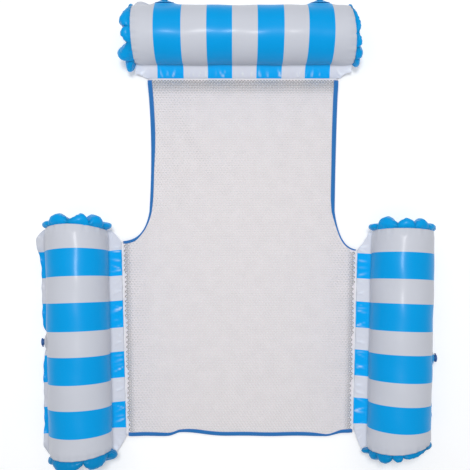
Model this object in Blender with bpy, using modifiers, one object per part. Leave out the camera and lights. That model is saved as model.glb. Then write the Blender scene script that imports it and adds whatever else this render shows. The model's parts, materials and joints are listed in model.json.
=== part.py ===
"""Inflatable pool chair, lying flat: three air tubes joined by one net, in metres, +Z up.

The chair is worked out from the middle of its recline fold, on the ground: X runs across the
seat, Y runs from the seat's front edge towards the headrest. At the end its root empty is moved
so that the origin is the bottom centre of the whole chair. Each air tube is built in a frame on
its own hinge line, with x pointing away from the net, y along the tube and z up.
"""
import math

import bmesh
import bpy
from mathutils import Matrix, Vector

# Net panel
SEAT_DEPTH = 0.585  # front edge to the recline fold
BACK_LENGTH = 0.3584  # recline fold to the headrest's hinge line
FOLD_HALF_WIDTH = 0.243
WAIST_HALF_WIDTH = 0.232  # handle of the curve between the fold and the headrest
HEAD_HALF_WIDTH = 0.254
SHOULDER_FLARE = 0.012
BACK_SIDE_SHIFT = 0.0065  # the back lies this far to the right of the seat
NET_THICKNESS = 0.0016
NET_HEIGHT = 0.0032  # of the net's mid-plane and of every fold line above the ground
NET_PITCH = 0.066
NET_ROW_PITCH = 0.040
NET_GAP_SHARES = (0.43, 0.86)  # half of a gap's width and height, of the two pitches
NET_MARGIN = 0.014
NET_BOW = 0.006  # how far a row of gaps curves, from its middle to its ends
SHOULDER_STEPS = 7
BACK_EDGE_STEPS = 5

# Hems that the net turns on, and the tape on its free edges
HEM_RADIUS = 0.003
FOLD_HEM_RADIUS = 0.0012
HEM_SIDES = 12
HEM_INSET = 0.002  # a hem stops this far inside the net's own edge
TAPE_WIDTH = 0.010
TAPE_THICKNESS = 0.0006
TAPE_END_AT_TUBE = 0.006  # the tape stops this far from a tube's hinge line
TAPE_END_AT_FOLD = 0.002
FRONT_TAPE_STEPS = 6

# Film tubes
TUBE_RADIUS = 0.078
FILM = 0.0005
GROUND_FLAT = 0.0005  # how deep a tube is flattened where it rests
LEFT_ARM_LENGTH = 0.568
RIGHT_ARM_LENGTH = 0.542
HEADREST_LENGTH = 0.560
LEFT_ARM_SETBACK = 0.334  # recline fold to the middle of the arm
RIGHT_ARM_SETBACK = 0.331
ARM_HINGE_OFFSET = 0.304  # from the seat's centre line, at the middle of the arm
ARM_TOE_IN = 1.9  # degrees
ARM_FLANGE_REACH = 0.1035  # hinge line to tube axis, across
HEAD_FLANGE_REACH = 0.092
ARM_WELD_DROP = 30.0  # degrees below mid-height, where the films meet on the net's side
HEAD_WELD_DROP = 20.0
FIN_DROP = 25.0  # the same on the outer side
FIN_WIDTH = 0.016
WELD_STANDOFF = 0.003
WELD_BEND = 5.0  # degrees of arc that a film takes to turn into its weld
UPPER_ARC_STEPS = 18
LOWER_ARC_STEPS = 4
NECK_LENGTH = 0.018
NECK_RADIUS_SHARE = 0.965
FLANGE_TIP_SHARE = 0.1
FLANGE_BEND_SHARE = 0.22
END_SADDLE = 0.008  # the end seam is this much shorter at its sides
ARM_REAR_CUT = 0.040  # length of the flange's slanted corners
ARM_FRONT_CUT = 0.022
HEAD_CUT = 0.026
STRIPE_PERIOD = 0.1305
STRIPE_SHARE = 0.515
STRIPE_COUNT = 4

# Gathered end panels
LOBES = 10
LOBE_STEPS = 4
LOBE_POWER = 0.6  # below 1 the lobes are blunt, with narrow valleys
LOBE_DEPTH = 0.032
END_HEM = 0.005
# Rings from the tube's edge inwards: radius, lobe's part of it, depth, lobe's part of it
END_RING_SHARES = (
    (0.985, 0.045, 0.34, 0.10),
    (0.83, 0.07, 0.70, 0.30),
    (0.48, 0.02, 0.70, 0.12),
)
END_MIDDLE_SHARE = 0.58

# Valves
VALVE_BASE_RADIUS = 0.018
VALVE_BASE_THICKNESS = 0.0012
VALVE_STEM_RADIUS = 0.006
VALVE_BORE_RADIUS = 0.004
VALVE_STEM_OUT = 0.009  # of the stem above its base when it is pulled out
VALVE_STEM_IN = 0.008  # of the stem inside the tube
VALVE_COLLAR_RADIUS = 0.008
VALVE_COLLAR_HEIGHT = 0.0015
VALVE_CAP_RADIUS = 0.010
VALVE_CAP_HEIGHT = 0.003
VALVE_CAP_BEVEL = 0.0008
VALVE_PLUG_RADIUS = 0.0034
VALVE_PLUG_DEPTH = 0.0025
TETHER_WIDTH = 0.005
TETHER_THICKNESS = 0.001
TETHER_REACH = 0.012  # stem axis to the cap's hinge
KNUCKLE_RADIUS = 0.0008
FLAP_RADIUS = 0.0055
FLAP_THICKNESS = 0.0006
VALVE_SIDES = 16
BORE_SIDES = 16
KNUCKLE_SIDES = 8
TUBE_BODY_SIDES = 120  # of the solid that fits a valve's base to its tube
HEAD_VALVE_SPACING = 0.400
HEAD_VALVE_RISE = 8.0  # degrees above mid-height
LEFT_VALVE_RISE = 5.0
RIGHT_VALVE_RISE = -2.0
RIGHT_VALVE_SHIFT = 0.045  # along the arm, towards the front

# Fits
CLEARANCE = 0.0003
STEM_CLEARANCE = 0.0003
HOLE_CLEARANCE = 0.0006
OVERRUN = 0.004
MERGE_DISTANCE = 0.00001
SMOOTH_ANGLE = 35.0  # degrees, up to which an edge is shaded smooth

# Colours, roughness and metallic share
WHITE_FILM = (0.78, 0.80, 0.84, 1.0)
BLUE_FILM = (0.005, 0.30, 0.68, 1.0)
NET_WHITE = (0.80, 0.78, 0.79, 1.0)
TAPE_BLUE = (0.012, 0.15, 0.50, 1.0)
VALVE_BLUE = (0.04, 0.12, 0.34, 1.0)

TUBE_HEIGHT = TUBE_RADIUS - GROUND_FLAT  # of a tube's axis above the ground
FLAT_ANGLE = math.degrees(math.acos(TUBE_HEIGHT / TUBE_RADIUS))
FILM_RADIUS = TUBE_RADIUS - FILM / 2
FILM_SPREAD = (FILM + CLEARANCE) / 2  # of each film from the middle of its weld
STEM_TOP = VALVE_BASE_THICKNESS + VALVE_STEM_OUT
STEM_BOTTOM = -VALVE_STEM_IN - FILM
CAP_BOTTOM = STEM_TOP + CLEARANCE
KNUCKLE_HEIGHT = STEM_TOP + CLEARANCE + KNUCKLE_RADIUS


def new_collection(name):
    """Adds a collection to the scene."""
    made = bpy.data.collections.new(name)
    bpy.context.scene.collection.children.link(made)
    return made


def clear_scene():
    """Removes every object that the file opened with."""
    for old in list(bpy.data.objects):
        bpy.data.objects.remove(old, do_unlink=True)


def new_material(name, colour, roughness, metallic=0.0):
    """A plain finish, and its shader for whatever is added to it."""
    made = bpy.data.materials.new(name)
    made.use_nodes = True
    shader = made.node_tree.nodes["Principled BSDF"]
    shader.inputs["Base Color"].default_value = colour
    shader.inputs["Roughness"].default_value = roughness
    shader.inputs["Metallic"].default_value = metallic
    made.diffuse_color = colour
    return made


def striped_material(name, roughness):
    """Film with blue bands across the tube, counted from the tube's middle along its y."""
    made = new_material(name, WHITE_FILM, roughness)
    nodes, links = made.node_tree.nodes, made.node_tree.links
    place = nodes.new("ShaderNodeTexCoord")
    parts = nodes.new("ShaderNodeSeparateXYZ")
    links.new(place.outputs["Object"], parts.inputs["Vector"])
    value = parts.outputs["Y"]
    steps = (
        ("DIVIDE", STRIPE_PERIOD),
        ("ADD", STRIPE_COUNT / 2 + (STRIPE_SHARE - 1) / 2),
        ("FRACT", 0.0),
        ("LESS_THAN", STRIPE_SHARE),
    )
    for operation, number in steps:
        step = nodes.new("ShaderNodeMath")
        step.operation = operation
        step.inputs[1].default_value = number
        links.new(value, step.inputs[0])
        value = step.outputs["Value"]
    mix = nodes.new("ShaderNodeMix")
    mix.data_type = "RGBA"
    colours = [socket for socket in mix.inputs if socket.type == "RGBA"]
    colours[0].default_value, colours[1].default_value = WHITE_FILM, BLUE_FILM
    links.new(value, mix.inputs["Factor"])
    result = next(socket for socket in mix.outputs if socket.type == "RGBA")
    links.new(result, nodes["Principled BSDF"].inputs["Base Color"])
    return made


def frame_empty(name, parent, matrix):
    """An empty that carries pieces, placed in its parent's frame."""
    made = bpy.data.objects.new(name, None)
    PARTS.objects.link(made)
    made.parent = parent
    made.matrix_local = matrix
    return made


def place(name, mesh, parent, material, collection=None):
    """Links a mesh as an object that sits in its parent's frame."""
    made = bpy.data.objects.new(name, mesh)
    (collection or PARTS).objects.link(made)
    made.parent = parent
    if material:
        mesh.materials.append(material)
    return made


def hide_as_cutter(made):
    """Marks a solid that only cuts another, or is joined to it."""
    made.hide_render = True
    made.display_type = "WIRE"
    return made


def boolean(target, tool, operation):
    """Cuts the tool out of the target, or joins it on."""
    step = target.modifiers.new(operation.lower(), "BOOLEAN")
    step.operation = operation
    step.solver = "EXACT"
    step.object = hide_as_cutter(tool)


def solidify(target, thickness):
    """Gives an open surface its thickness, half to each side."""
    step = target.modifiers.new("thickness", "SOLIDIFY")
    step.thickness = thickness
    step.offset = 0.0
    step.use_even_offset = True


def mesh_from(name, build):
    """Fills a new mesh by the given function, and smooths its gentle edges."""
    work = bmesh.new()
    build(work)
    mesh = bpy.data.meshes.new(name)
    work.to_mesh(mesh)
    work.free()
    mesh.shade_smooth()
    mesh.set_sharp_from_angle(angle=math.radians(SMOOTH_ANGLE))
    return mesh


def sheet_mesh(name, rows, ring=False, middle=None):
    """An open sheet through rows of points, closed into a ring or ended at a middle point."""

    def build(work):
        grid = [[work.verts.new(point) for point in row] for row in rows]
        count = len(grid[0])
        for row, following in zip(grid, grid[1:]):
            for i in range(count if ring else count - 1):
                k = (i + 1) % count
                work.faces.new((row[i], row[k], following[k], following[i]))
        if middle is not None:
            centre = work.verts.new(middle)
            last = grid[-1]
            for i in range(count):
                work.faces.new((last[i], last[(i + 1) % count], centre))

    return mesh_from(name, build)


def cylinder_mesh(name, radius, low, high, sides, matrix=None):
    """A closed cylinder along z, from low to high, moved by a matrix."""

    def build(work):
        move = (matrix or Matrix()) @ Matrix.Translation((0, 0, (low + high) / 2))
        bmesh.ops.create_cone(
            work, cap_ends=True, segments=sides, radius1=radius, radius2=radius,
            depth=high - low, matrix=move,
        )

    return mesh_from(name, build)


def box_mesh(name, low, high):
    """A closed box between two corners."""

    def build(work):
        size = Vector(high) - Vector(low)
        middle = (Vector(high) + Vector(low)) / 2
        move = Matrix.Translation(middle) @ Matrix.Diagonal((*size, 1.0))
        bmesh.ops.create_cube(work, size=1.0, matrix=move)

    return mesh_from(name, build)


def turned_mesh(name, profile):
    """A profile line in x and z, for the Screw modifier."""

    def build(work):
        points = [work.verts.new((radius, 0, height)) for radius, height in profile]
        for a, b in zip(points, points[1:]):
            work.edges.new((a, b))

    return mesh_from(name, build)


def screw(target, sides):
    """Turns a profile round z."""
    step = target.modifiers.new("turn", "SCREW")
    step.steps = sides
    step.render_steps = sides
    step.use_merge_vertices = True
    step.merge_threshold = MERGE_DISTANCE
    step.use_normal_calculate = False


def bend(start, corner, end, steps):
    """Points of a quadratic curve, both ends included."""
    made = []
    for i in range(steps + 1):
        t = i / steps
        made.append(start.lerp(corner, t).lerp(corner.lerp(end, t), t))
    return made


def polar(radius, degrees):
    """A point across a tube, from its axis: x outwards, y upwards."""
    angle = math.radians(degrees)
    return Vector((radius * math.cos(angle), radius * math.sin(angle)))


def span(start, end, steps):
    """Evenly spaced numbers, both ends included."""
    return [start + (end - start) * i / steps for i in range(steps + 1)]


class Tube:
    """One air tube: two films, two end panels, and what its hinge line carries."""

    def __init__(self, name, length, reach, weld_drop, cuts, ends, valves):
        self.name = name
        self.length = length
        self.reach = reach
        self.weld_angle = 180.0 + weld_drop
        self.cuts = dict(zip((-1, 1), cuts))
        self.ends = dict(zip((-1, 1), ends))
        self.valves = valves
        self.centre = Vector((reach, 0, TUBE_HEIGHT - NET_HEIGHT))

    def section(self, radius_share, flange_share, side):
        """Points across one film, from the flange's edge to the fin's; side is 1 on the upper film."""
        radius = FILM_RADIUS * radius_share
        weld = polar(radius + WELD_STANDOFF, self.weld_angle)
        hinge = Vector((-self.reach, NET_HEIGHT - TUBE_HEIGHT))
        along = (hinge - weld).normalized()
        edge = hinge - along * (HEM_RADIUS + CLEARANCE)
        tip = weld.lerp(edge, flange_share)
        knee = weld.lerp(tip, FLANGE_BEND_SHARE)
        lift = Vector((along.y, -along.x)) * FILM_SPREAD * side
        points = [tip + lift]
        first = self.weld_angle - WELD_BEND * side
        last = -FIN_DROP + WELD_BEND * side
        points += bend(knee + lift, weld + lift, polar(radius, first), 2)
        points += [polar(radius, a) for a in self.arc(first, last, side)[1:-1]]
        root = polar(radius + WELD_STANDOFF, -FIN_DROP)
        fin_knee = polar(radius + WELD_STANDOFF * 2, -FIN_DROP)
        fin_lift = polar(1.0, 90.0 - FIN_DROP) * FILM_SPREAD * side
        points += bend(polar(radius, last), root + fin_lift, fin_knee + fin_lift, 2)
        points.append(polar(radius + FIN_WIDTH, -FIN_DROP) + fin_lift)
        return points

    @staticmethod
    def arc(first, last, side):
        """Angles round the tube; the lower film has one level facet, which the tube rests on."""
        if side > 0:
            return span(first, last, UPPER_ARC_STEPS)
        to_flat = span(first, 270.0 - FLAT_ANGLE, LOWER_ARC_STEPS)
        return to_flat + span(270.0 + FLAT_ANGLE, last + 360.0, LOWER_ARC_STEPS)

    def saddle(self, across):
        """How far the end seam draws back at this point across the tube."""
        return END_SADDLE * across.x**2 / across.length_squared

    def stations(self):
        """Rings along the tube: place, radius share, flange share, and the end that they follow."""
        half = self.length / 2
        made = []
        for end in (-1, 1):
            cut = self.cuts[end]
            neck_flange = FLANGE_TIP_SHARE + (1 - FLANGE_TIP_SHARE) * NECK_LENGTH / cut
            rings = [
                (end * half, NECK_RADIUS_SHARE, FLANGE_TIP_SHARE, end),
                (end * (half - NECK_LENGTH), 1.0, neck_flange, 0),
                (end * (half - cut), 1.0, 1.0, 0),
            ]
            made += rings if end < 0 else rings[::-1]
        return made

    def film_rows(self, side):
        """Rows of points of the upper or the lower film, in the hinge line's frame."""
        rows = []
        for along, radius_share, flange_share, end in self.stations():
            row = []
            for across in self.section(radius_share, flange_share, side):
                draw = self.saddle(across) * end
                row.append(self.centre + Vector((across.x, along - draw, across.y)))
            rows.append(row)
        return rows

    def end_rows(self, end):
        """Rings of an end panel, from its hem in the tube to near its middle, and its middle."""
        facet = math.cos(math.radians((self.weld_angle + FIN_DROP) / UPPER_ARC_STEPS / 2))
        rim = (TUBE_RADIUS * NECK_RADIUS_SHARE - FILM) * facet - CLEARANCE - FILM / 2
        count = LOBES * LOBE_STEPS
        lowest = GROUND_FLAT + FILM / 2 - TUBE_HEIGHT
        rings = [(rim, 0.0, -END_HEM, 0.0), (rim, 0.0, 0.0, 0.0)]
        for radius, radius_lobe, depth, depth_lobe in END_RING_SHARES:
            full = TUBE_RADIUS * radius
            rings.append((full, TUBE_RADIUS * radius_lobe, LOBE_DEPTH * depth, LOBE_DEPTH * depth_lobe))
        rows = []
        for radius, radius_lobe, depth, depth_lobe in rings:
            row = []
            for i in range(count):
                puff = abs(math.sin(math.pi * i / LOBE_STEPS)) ** LOBE_POWER
                across = polar(radius + radius_lobe * puff, 360.0 * i / count)
                along = self.length / 2 + depth + depth_lobe * puff
                along -= self.saddle(across) * radius / TUBE_RADIUS
                height = max(across.y, lowest)
                row.append(self.centre + Vector((across.x, along * end, height)))
            rows.append(row)
        along = self.length / 2 + LOBE_DEPTH * END_MIDDLE_SHARE
        return rows, self.centre + Vector((0, along * end, 0))

    def valve_matrix(self, along, rise):
        """Frame on the tube's skin, with z outwards and x along the tube."""
        angle = math.radians(rise)
        outward = Vector((math.cos(angle), 0, math.sin(angle)))
        lengthways = Vector((0, 1, 0))
        sideways = outward.cross(lengthways)
        turn = Matrix((lengthways, sideways, outward)).transposed().to_4x4()
        middle = self.centre + outward * TUBE_RADIUS + lengthways * along
        return Matrix.Translation(middle) @ turn

    def axis_matrix(self):
        """Frame on the tube's axis, with z along the tube."""
        return Matrix.Translation(self.centre) @ Matrix.Rotation(math.radians(-90), 4, "X")

    def build(self, frame):
        """Makes the films, the end panels and the valves."""
        skins = {}
        for side, word in ((1, "upper"), (-1, "lower")):
            label = f"{self.name}_{word}_skin"
            skin = place(label, sheet_mesh(label, self.film_rows(side)), frame, STRIPED)
            solidify(skin, FILM)
            skins[word] = skin
        for end, word in self.ends.items():
            label = f"{self.name}_{word}_end_panel"
            rows, middle = self.end_rows(end)
            panel = place(label, sheet_mesh(label, rows, True, middle), frame, BLUE)
            solidify(panel, FILM)
        for prefix, along, rise in self.valves:
            carrier = frame_empty(f"{prefix}_valve_frame", frame, self.valve_matrix(along, rise))
            build_valve(prefix, carrier, self, skins["upper"])


def build_valve(prefix, carrier, tube, skin):
    """A push-in valve: base on the film, stem with its tether lug, check flap, and plug cap."""
    hole_radius = VALVE_STEM_RADIUS + HOLE_CLEARANCE
    hole = cylinder_mesh("hole", hole_radius, STEM_BOTTOM, STEM_TOP, BORE_SIDES)
    boolean(skin, place(f"{prefix}_valve_hole", hole, carrier, None, CUTTERS), "DIFFERENCE")

    label = f"{prefix}_valve_base"
    base_mesh = cylinder_mesh(
        label, VALVE_BASE_RADIUS, -OVERRUN, VALVE_BASE_THICKNESS, VALVE_SIDES * 2
    )
    base = place(label, base_mesh, carrier, VALVE)
    reach = tube.length / 2
    body_mesh = cylinder_mesh(
        "tube_body", TUBE_RADIUS + CLEARANCE, -reach, reach, TUBE_BODY_SIDES,
        tube.axis_matrix(),
    )
    body = place(f"{prefix}_valve_saddle", body_mesh, carrier.parent, None, CUTTERS)
    boolean(base, body, "DIFFERENCE")
    bore_mesh = cylinder_mesh(
        "bore", VALVE_STEM_RADIUS + STEM_CLEARANCE, -2 * OVERRUN, STEM_TOP, BORE_SIDES
    )
    boolean(base, place(f"{prefix}_valve_bore", bore_mesh, carrier, None, CUTTERS), "DIFFERENCE")

    label = f"{prefix}_valve_stem"
    collar_bottom = STEM_TOP - VALVE_COLLAR_HEIGHT
    profile = [
        (VALVE_BORE_RADIUS, STEM_TOP),
        (VALVE_COLLAR_RADIUS, STEM_TOP),
        (VALVE_COLLAR_RADIUS, collar_bottom),
        (VALVE_STEM_RADIUS, collar_bottom),
        (VALVE_STEM_RADIUS, STEM_BOTTOM),
        (VALVE_BORE_RADIUS, STEM_BOTTOM),
        (VALVE_BORE_RADIUS, STEM_TOP),
    ]
    stem = place(label, turned_mesh(label, profile), carrier, VALVE)
    screw(stem, VALVE_SIDES)
    wall = (VALVE_BORE_RADIUS + VALVE_STEM_RADIUS) / 2
    lug = box_mesh(
        "lug",
        (wall, -TETHER_WIDTH / 2, STEM_TOP - TETHER_THICKNESS),
        (TETHER_REACH + KNUCKLE_RADIUS, TETHER_WIDTH / 2, STEM_TOP),
    )
    boolean(stem, place(f"{prefix}_valve_lug", lug, carrier, None, CUTTERS), "UNION")

    flap_top = STEM_BOTTOM - CLEARANCE
    hinge = Matrix.Translation((-FLAP_RADIUS, 0, flap_top))
    pivot = frame_empty(f"{prefix}_valve_flap_hinge", carrier, hinge)
    label = f"{prefix}_valve_flap"
    away = Matrix.Translation((FLAP_RADIUS, 0, 0))
    flap = cylinder_mesh(label, FLAP_RADIUS, -FLAP_THICKNESS, 0, VALVE_SIDES, away)
    place(label, flap, pivot, VALVE)

    hinge = Matrix.Translation((TETHER_REACH, 0, KNUCKLE_HEIGHT))
    pivot = frame_empty(f"{prefix}_valve_cap_hinge", carrier, hinge)
    label = f"{prefix}_valve_cap"
    low = CAP_BOTTOM - KNUCKLE_HEIGHT
    high = low + VALVE_CAP_HEIGHT
    profile = [
        (0, high),
        (VALVE_CAP_RADIUS - VALVE_CAP_BEVEL, high),
        (VALVE_CAP_RADIUS, high - VALVE_CAP_BEVEL),
        (VALVE_CAP_RADIUS, low),
        (VALVE_PLUG_RADIUS, low),
        (VALVE_PLUG_RADIUS, low - VALVE_PLUG_DEPTH),
        (0, low - VALVE_PLUG_DEPTH),
    ]
    cap = place(label, turned_mesh(label, profile), pivot, VALVE)
    cap.location.x = -TETHER_REACH
    screw(cap, VALVE_SIDES)
    strap = box_mesh(
        "strap",
        (VALVE_CAP_RADIUS - OVERRUN - TETHER_REACH, -TETHER_WIDTH / 2, -TETHER_THICKNESS / 2),
        (0, TETHER_WIDTH / 2, TETHER_THICKNESS / 2),
    )
    boolean(cap, place(f"{prefix}_valve_strap", strap, pivot, None, CUTTERS), "UNION")
    half = TETHER_WIDTH / 2
    across = Matrix.Rotation(math.radians(90), 4, "X")
    knuckle = cylinder_mesh("knuckle", KNUCKLE_RADIUS, -half, half, KNUCKLE_SIDES, across)
    boolean(cap, place(f"{prefix}_valve_knuckle", knuckle, pivot, None, CUTTERS), "UNION")


def distance_to_segment(point, a, b):
    """Distance from a point to the straight line between two others."""
    line = b - a
    t = min(1.0, max(0.0, (point - a).dot(line) / line.length_squared))
    return (point - a - line * t).length


def is_inside(point, outline, margin):
    """Whether a point lies in an outline, at least the margin away from its edge."""
    crossings = False
    for a, b in zip(outline, outline[1:] + outline[:1]):
        if distance_to_segment(point, a, b) < margin:
            return False
        if (a.y > point.y) != (b.y > point.y):
            if point.x < a.x + (point.y - a.y) * (b.x - a.x) / (b.y - a.y):
                crossings = not crossings
    return crossings


def net_gaps(outline):
    """Diamond gaps in staggered rows, wherever one fits whole inside the outline."""
    wide = NET_PITCH * NET_GAP_SHARES[0]
    high = NET_ROW_PITCH * NET_GAP_SHARES[1]
    corners = [Vector((wide, 0)), Vector((0, high)), Vector((-wide, 0)), Vector((0, -high))]
    low_x, high_x = min(p.x for p in outline), max(p.x for p in outline)
    low_y, high_y = min(p.y for p in outline), max(p.y for p in outline)
    made = []
    rows = math.ceil((high_y - low_y) / NET_ROW_PITCH)
    columns = math.ceil((high_x - low_x) / NET_PITCH) + 1
    for row in range(rows):
        for column in range(columns):
            stagger = (row % 2) / 2
            across = (column - columns / 2 + stagger) * NET_PITCH
            bow = NET_BOW * (2 * across / (high_x - low_x)) ** 2
            middle = Vector((
                (low_x + high_x) / 2 + across,
                low_y + NET_MARGIN + high + row * NET_ROW_PITCH + bow,
            ))
            gap = [middle + corner for corner in corners]
            if all(is_inside(corner, outline, NET_MARGIN) for corner in gap):
                made.append(gap)
    return made


def flat_panel(name, outline, holes, thickness, frame, material):
    """A flat solid with holes, from one filled 2D curve."""
    curve = bpy.data.curves.new(name, "CURVE")
    curve.dimensions = "2D"
    curve.fill_mode = "BOTH"
    curve.extrude = thickness / 2
    for loop in [outline, *holes]:
        spline = curve.splines.new("POLY")
        spline.points.add(len(loop) - 1)
        spline.use_cyclic_u = True
        for point, place_xy in zip(spline.points, loop):
            point.co = (place_xy.x, place_xy.y, 0, 1)
    guide = bpy.data.objects.new(name + "_outline", curve)
    CUTTERS.objects.link(guide)
    bpy.context.view_layer.update()
    evaluated = guide.evaluated_get(bpy.context.evaluated_depsgraph_get())
    mesh = bpy.data.meshes.new_from_object(evaluated)
    mesh.name = name
    bpy.data.objects.remove(guide, do_unlink=True)
    work = bmesh.new()
    work.from_mesh(mesh)
    bmesh.ops.remove_doubles(work, verts=work.verts, dist=MERGE_DISTANCE)
    bmesh.ops.recalc_face_normals(work, faces=work.faces)
    work.to_mesh(mesh)
    work.free()
    mesh.materials.clear()
    return place(name, mesh, frame, material)


def add_hem(panel, label, start, end, radius, frame):
    """A round hem along one edge of a panel, joined to it."""
    line = (end - start).normalized()
    low = start + line * HEM_INSET
    high = end - line * HEM_INSET
    turn = line.to_3d().to_track_quat("Z", "Y").to_matrix().to_4x4()
    move = Matrix.Translation(low.to_3d()) @ turn
    rod = cylinder_mesh(label, radius, 0, (high - low).length, HEM_SIDES, move)
    boolean(panel, place(label, rod, frame, None, CUTTERS), "UNION")


def tape_rows(path, inner_side):
    """Rows of a tape folded over a net's edge; inner_side is 1 where the net is to the left."""
    height = NET_THICKNESS / 2 + CLEARANCE + TAPE_THICKNESS / 2
    fold = CLEARANCE + TAPE_THICKNESS / 2
    rows = []
    for i, point in enumerate(path):
        before, after = path[max(i - 1, 0)], path[min(i + 1, len(path) - 1)]
        along = (after - before).normalized()
        inward = Vector((-along.y, along.x)) * inner_side
        inner = point + inward * TAPE_WIDTH
        outer = point - inward * fold
        rows.append([
            Vector((inner.x, inner.y, height)),
            Vector((outer.x, outer.y, height)),
            Vector((outer.x, outer.y, -height)),
            Vector((inner.x, inner.y, -height)),
        ])
    return rows


def trimmed(path, at_start, at_end):
    """A path with a length cut off each of its ends, where its first and last runs hold it."""
    made = list(path)
    made[0] = path[0] + (path[1] - path[0]).normalized() * at_start
    made[-1] = path[-1] + (path[-2] - path[-1]).normalized() * at_end
    return made


def add_tape(name, path, inner_side, frame):
    """One length of edge tape."""
    tape = place(name, sheet_mesh(name, tape_rows(path, inner_side)), frame, TAPE)
    solidify(tape, TAPE_THICKNESS)


def hinge_point(side, setback, along):
    """A point on an arm's hinge line; along is counted from the arm's middle towards the rear."""
    toe = math.radians(ARM_TOE_IN)
    x = ARM_HINGE_OFFSET + along * math.sin(toe)
    return Vector((side * x, along * math.cos(toe) - setback))


def hinge_point_at(side, setback, y):
    """The point of an arm's hinge line at a given y."""
    return hinge_point(side, setback, (y + setback) / math.cos(math.radians(ARM_TOE_IN)))


def build_seat(root):
    """The seat panel between the arms, with its shoulders, hems and tape."""
    frame = frame_empty("seat_frame", root, Matrix.Translation((0, 0, NET_HEIGHT)))
    lengths = {-1: LEFT_ARM_LENGTH, 1: RIGHT_ARM_LENGTH}
    setbacks = {-1: LEFT_ARM_SETBACK, 1: RIGHT_ARM_SETBACK}
    shoulders, fronts, rears = {}, {}, {}
    for side in (-1, 1):
        fold_corner = Vector((side * FOLD_HALF_WIDTH + BACK_SIDE_SHIFT, 0))
        rears[side] = hinge_point(side, setbacks[side], lengths[side] / 2 - ARM_REAR_CUT)
        fronts[side] = hinge_point_at(side, setbacks[side], -SEAT_DEPTH)
        handle = Vector((fold_corner.x + side * SHOULDER_FLARE, rears[side].y))
        shoulders[side] = bend(rears[side], handle, fold_corner, SHOULDER_STEPS)
    outline = [fronts[-1], fronts[1], *shoulders[1], *reversed(shoulders[-1])]
    panel = flat_panel("seat_mesh", outline, net_gaps(outline), NET_THICKNESS, frame, NET)
    for side, word in ((-1, "left"), (1, "right")):
        add_hem(panel, f"{word}_arm_hem", fronts[side], rears[side], HEM_RADIUS, frame)
        path = trimmed(shoulders[side], TAPE_END_AT_TUBE, TAPE_END_AT_FOLD)
        add_tape(f"{word}_shoulder_binding", path, side, frame)
    add_hem(panel, "fold_hem", shoulders[-1][-1], shoulders[1][-1], FOLD_HEM_RADIUS, frame)
    front = [fronts[-1].lerp(fronts[1], share) for share in span(0, 1, FRONT_TAPE_STEPS)]
    add_tape("front_binding", trimmed(front, TAPE_END_AT_TUBE, TAPE_END_AT_TUBE), 1, frame)


def build_back(frame):
    """The back panel from the recline fold to the headrest; its frame lies on the fold."""
    start = FOLD_HEM_RADIUS + CLEARANCE
    edges = {}
    for side in (-1, 1):
        low = Vector((side * FOLD_HALF_WIDTH + BACK_SIDE_SHIFT, start))
        handle = Vector((side * WAIST_HALF_WIDTH + BACK_SIDE_SHIFT, BACK_LENGTH / 2))
        high = Vector((side * HEAD_HALF_WIDTH + BACK_SIDE_SHIFT, BACK_LENGTH))
        edges[side] = bend(low, handle, high, BACK_EDGE_STEPS)
    outline = [*edges[1], *reversed(edges[-1])]
    panel = flat_panel("back_mesh", outline, net_gaps(outline), NET_THICKNESS, frame, NET)
    add_hem(panel, "headrest_hem", edges[-1][-1], edges[1][-1], HEM_RADIUS, frame)
    for side, word in ((-1, "left"), (1, "right")):
        path = trimmed(edges[side], TAPE_END_AT_FOLD, TAPE_END_AT_TUBE)
        add_tape(f"{word}_back_binding", path, side, frame)


def build_divider(frame, tube):
    """The film wall between the headrest's two chambers."""
    facet = math.cos(math.radians((tube.weld_angle + FIN_DROP) / UPPER_ARC_STEPS / 2))
    radius = (TUBE_RADIUS - FILM) * facet - CLEARANCE
    radius = min(radius, TUBE_HEIGHT - FILM - CLEARANCE)
    name = "headrest_divider"
    half = FILM / 2
    disc = cylinder_mesh(name, radius, -half, half, LOBES * LOBE_STEPS, tube.axis_matrix())
    place(name, disc, frame, BLUE)


def centre_on_ground(root):
    """Moves the root so that the origin is the bottom centre of the finished chair."""
    bpy.context.view_layer.update()
    graph = bpy.context.evaluated_depsgraph_get()
    corners = []
    for piece in PARTS.objects:
        if piece.type == "MESH":
            evaluated = piece.evaluated_get(graph)
            mesh = evaluated.to_mesh()
            corners += [evaluated.matrix_world @ vertex.co for vertex in mesh.vertices]
            evaluated.to_mesh_clear()
    low = [min(corner[i] for corner in corners) for i in range(3)]
    high = [max(corner[i] for corner in corners) for i in range(3)]
    root.location = (-(low[0] + high[0]) / 2, -(low[1] + high[1]) / 2, -low[2])
    bpy.context.view_layer.update()


clear_scene()
PARTS = new_collection("inflatable_pool_chair")
CUTTERS = new_collection("cutters")
STRIPED = striped_material("striped_film", 0.28)
BLUE = new_material("blue_film", BLUE_FILM, 0.28)
NET = new_material("white_net", NET_WHITE, 0.75)
TAPE = new_material("blue_tape", TAPE_BLUE, 0.45)
VALVE = new_material("valve_plastic", VALVE_BLUE, 0.35)

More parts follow.
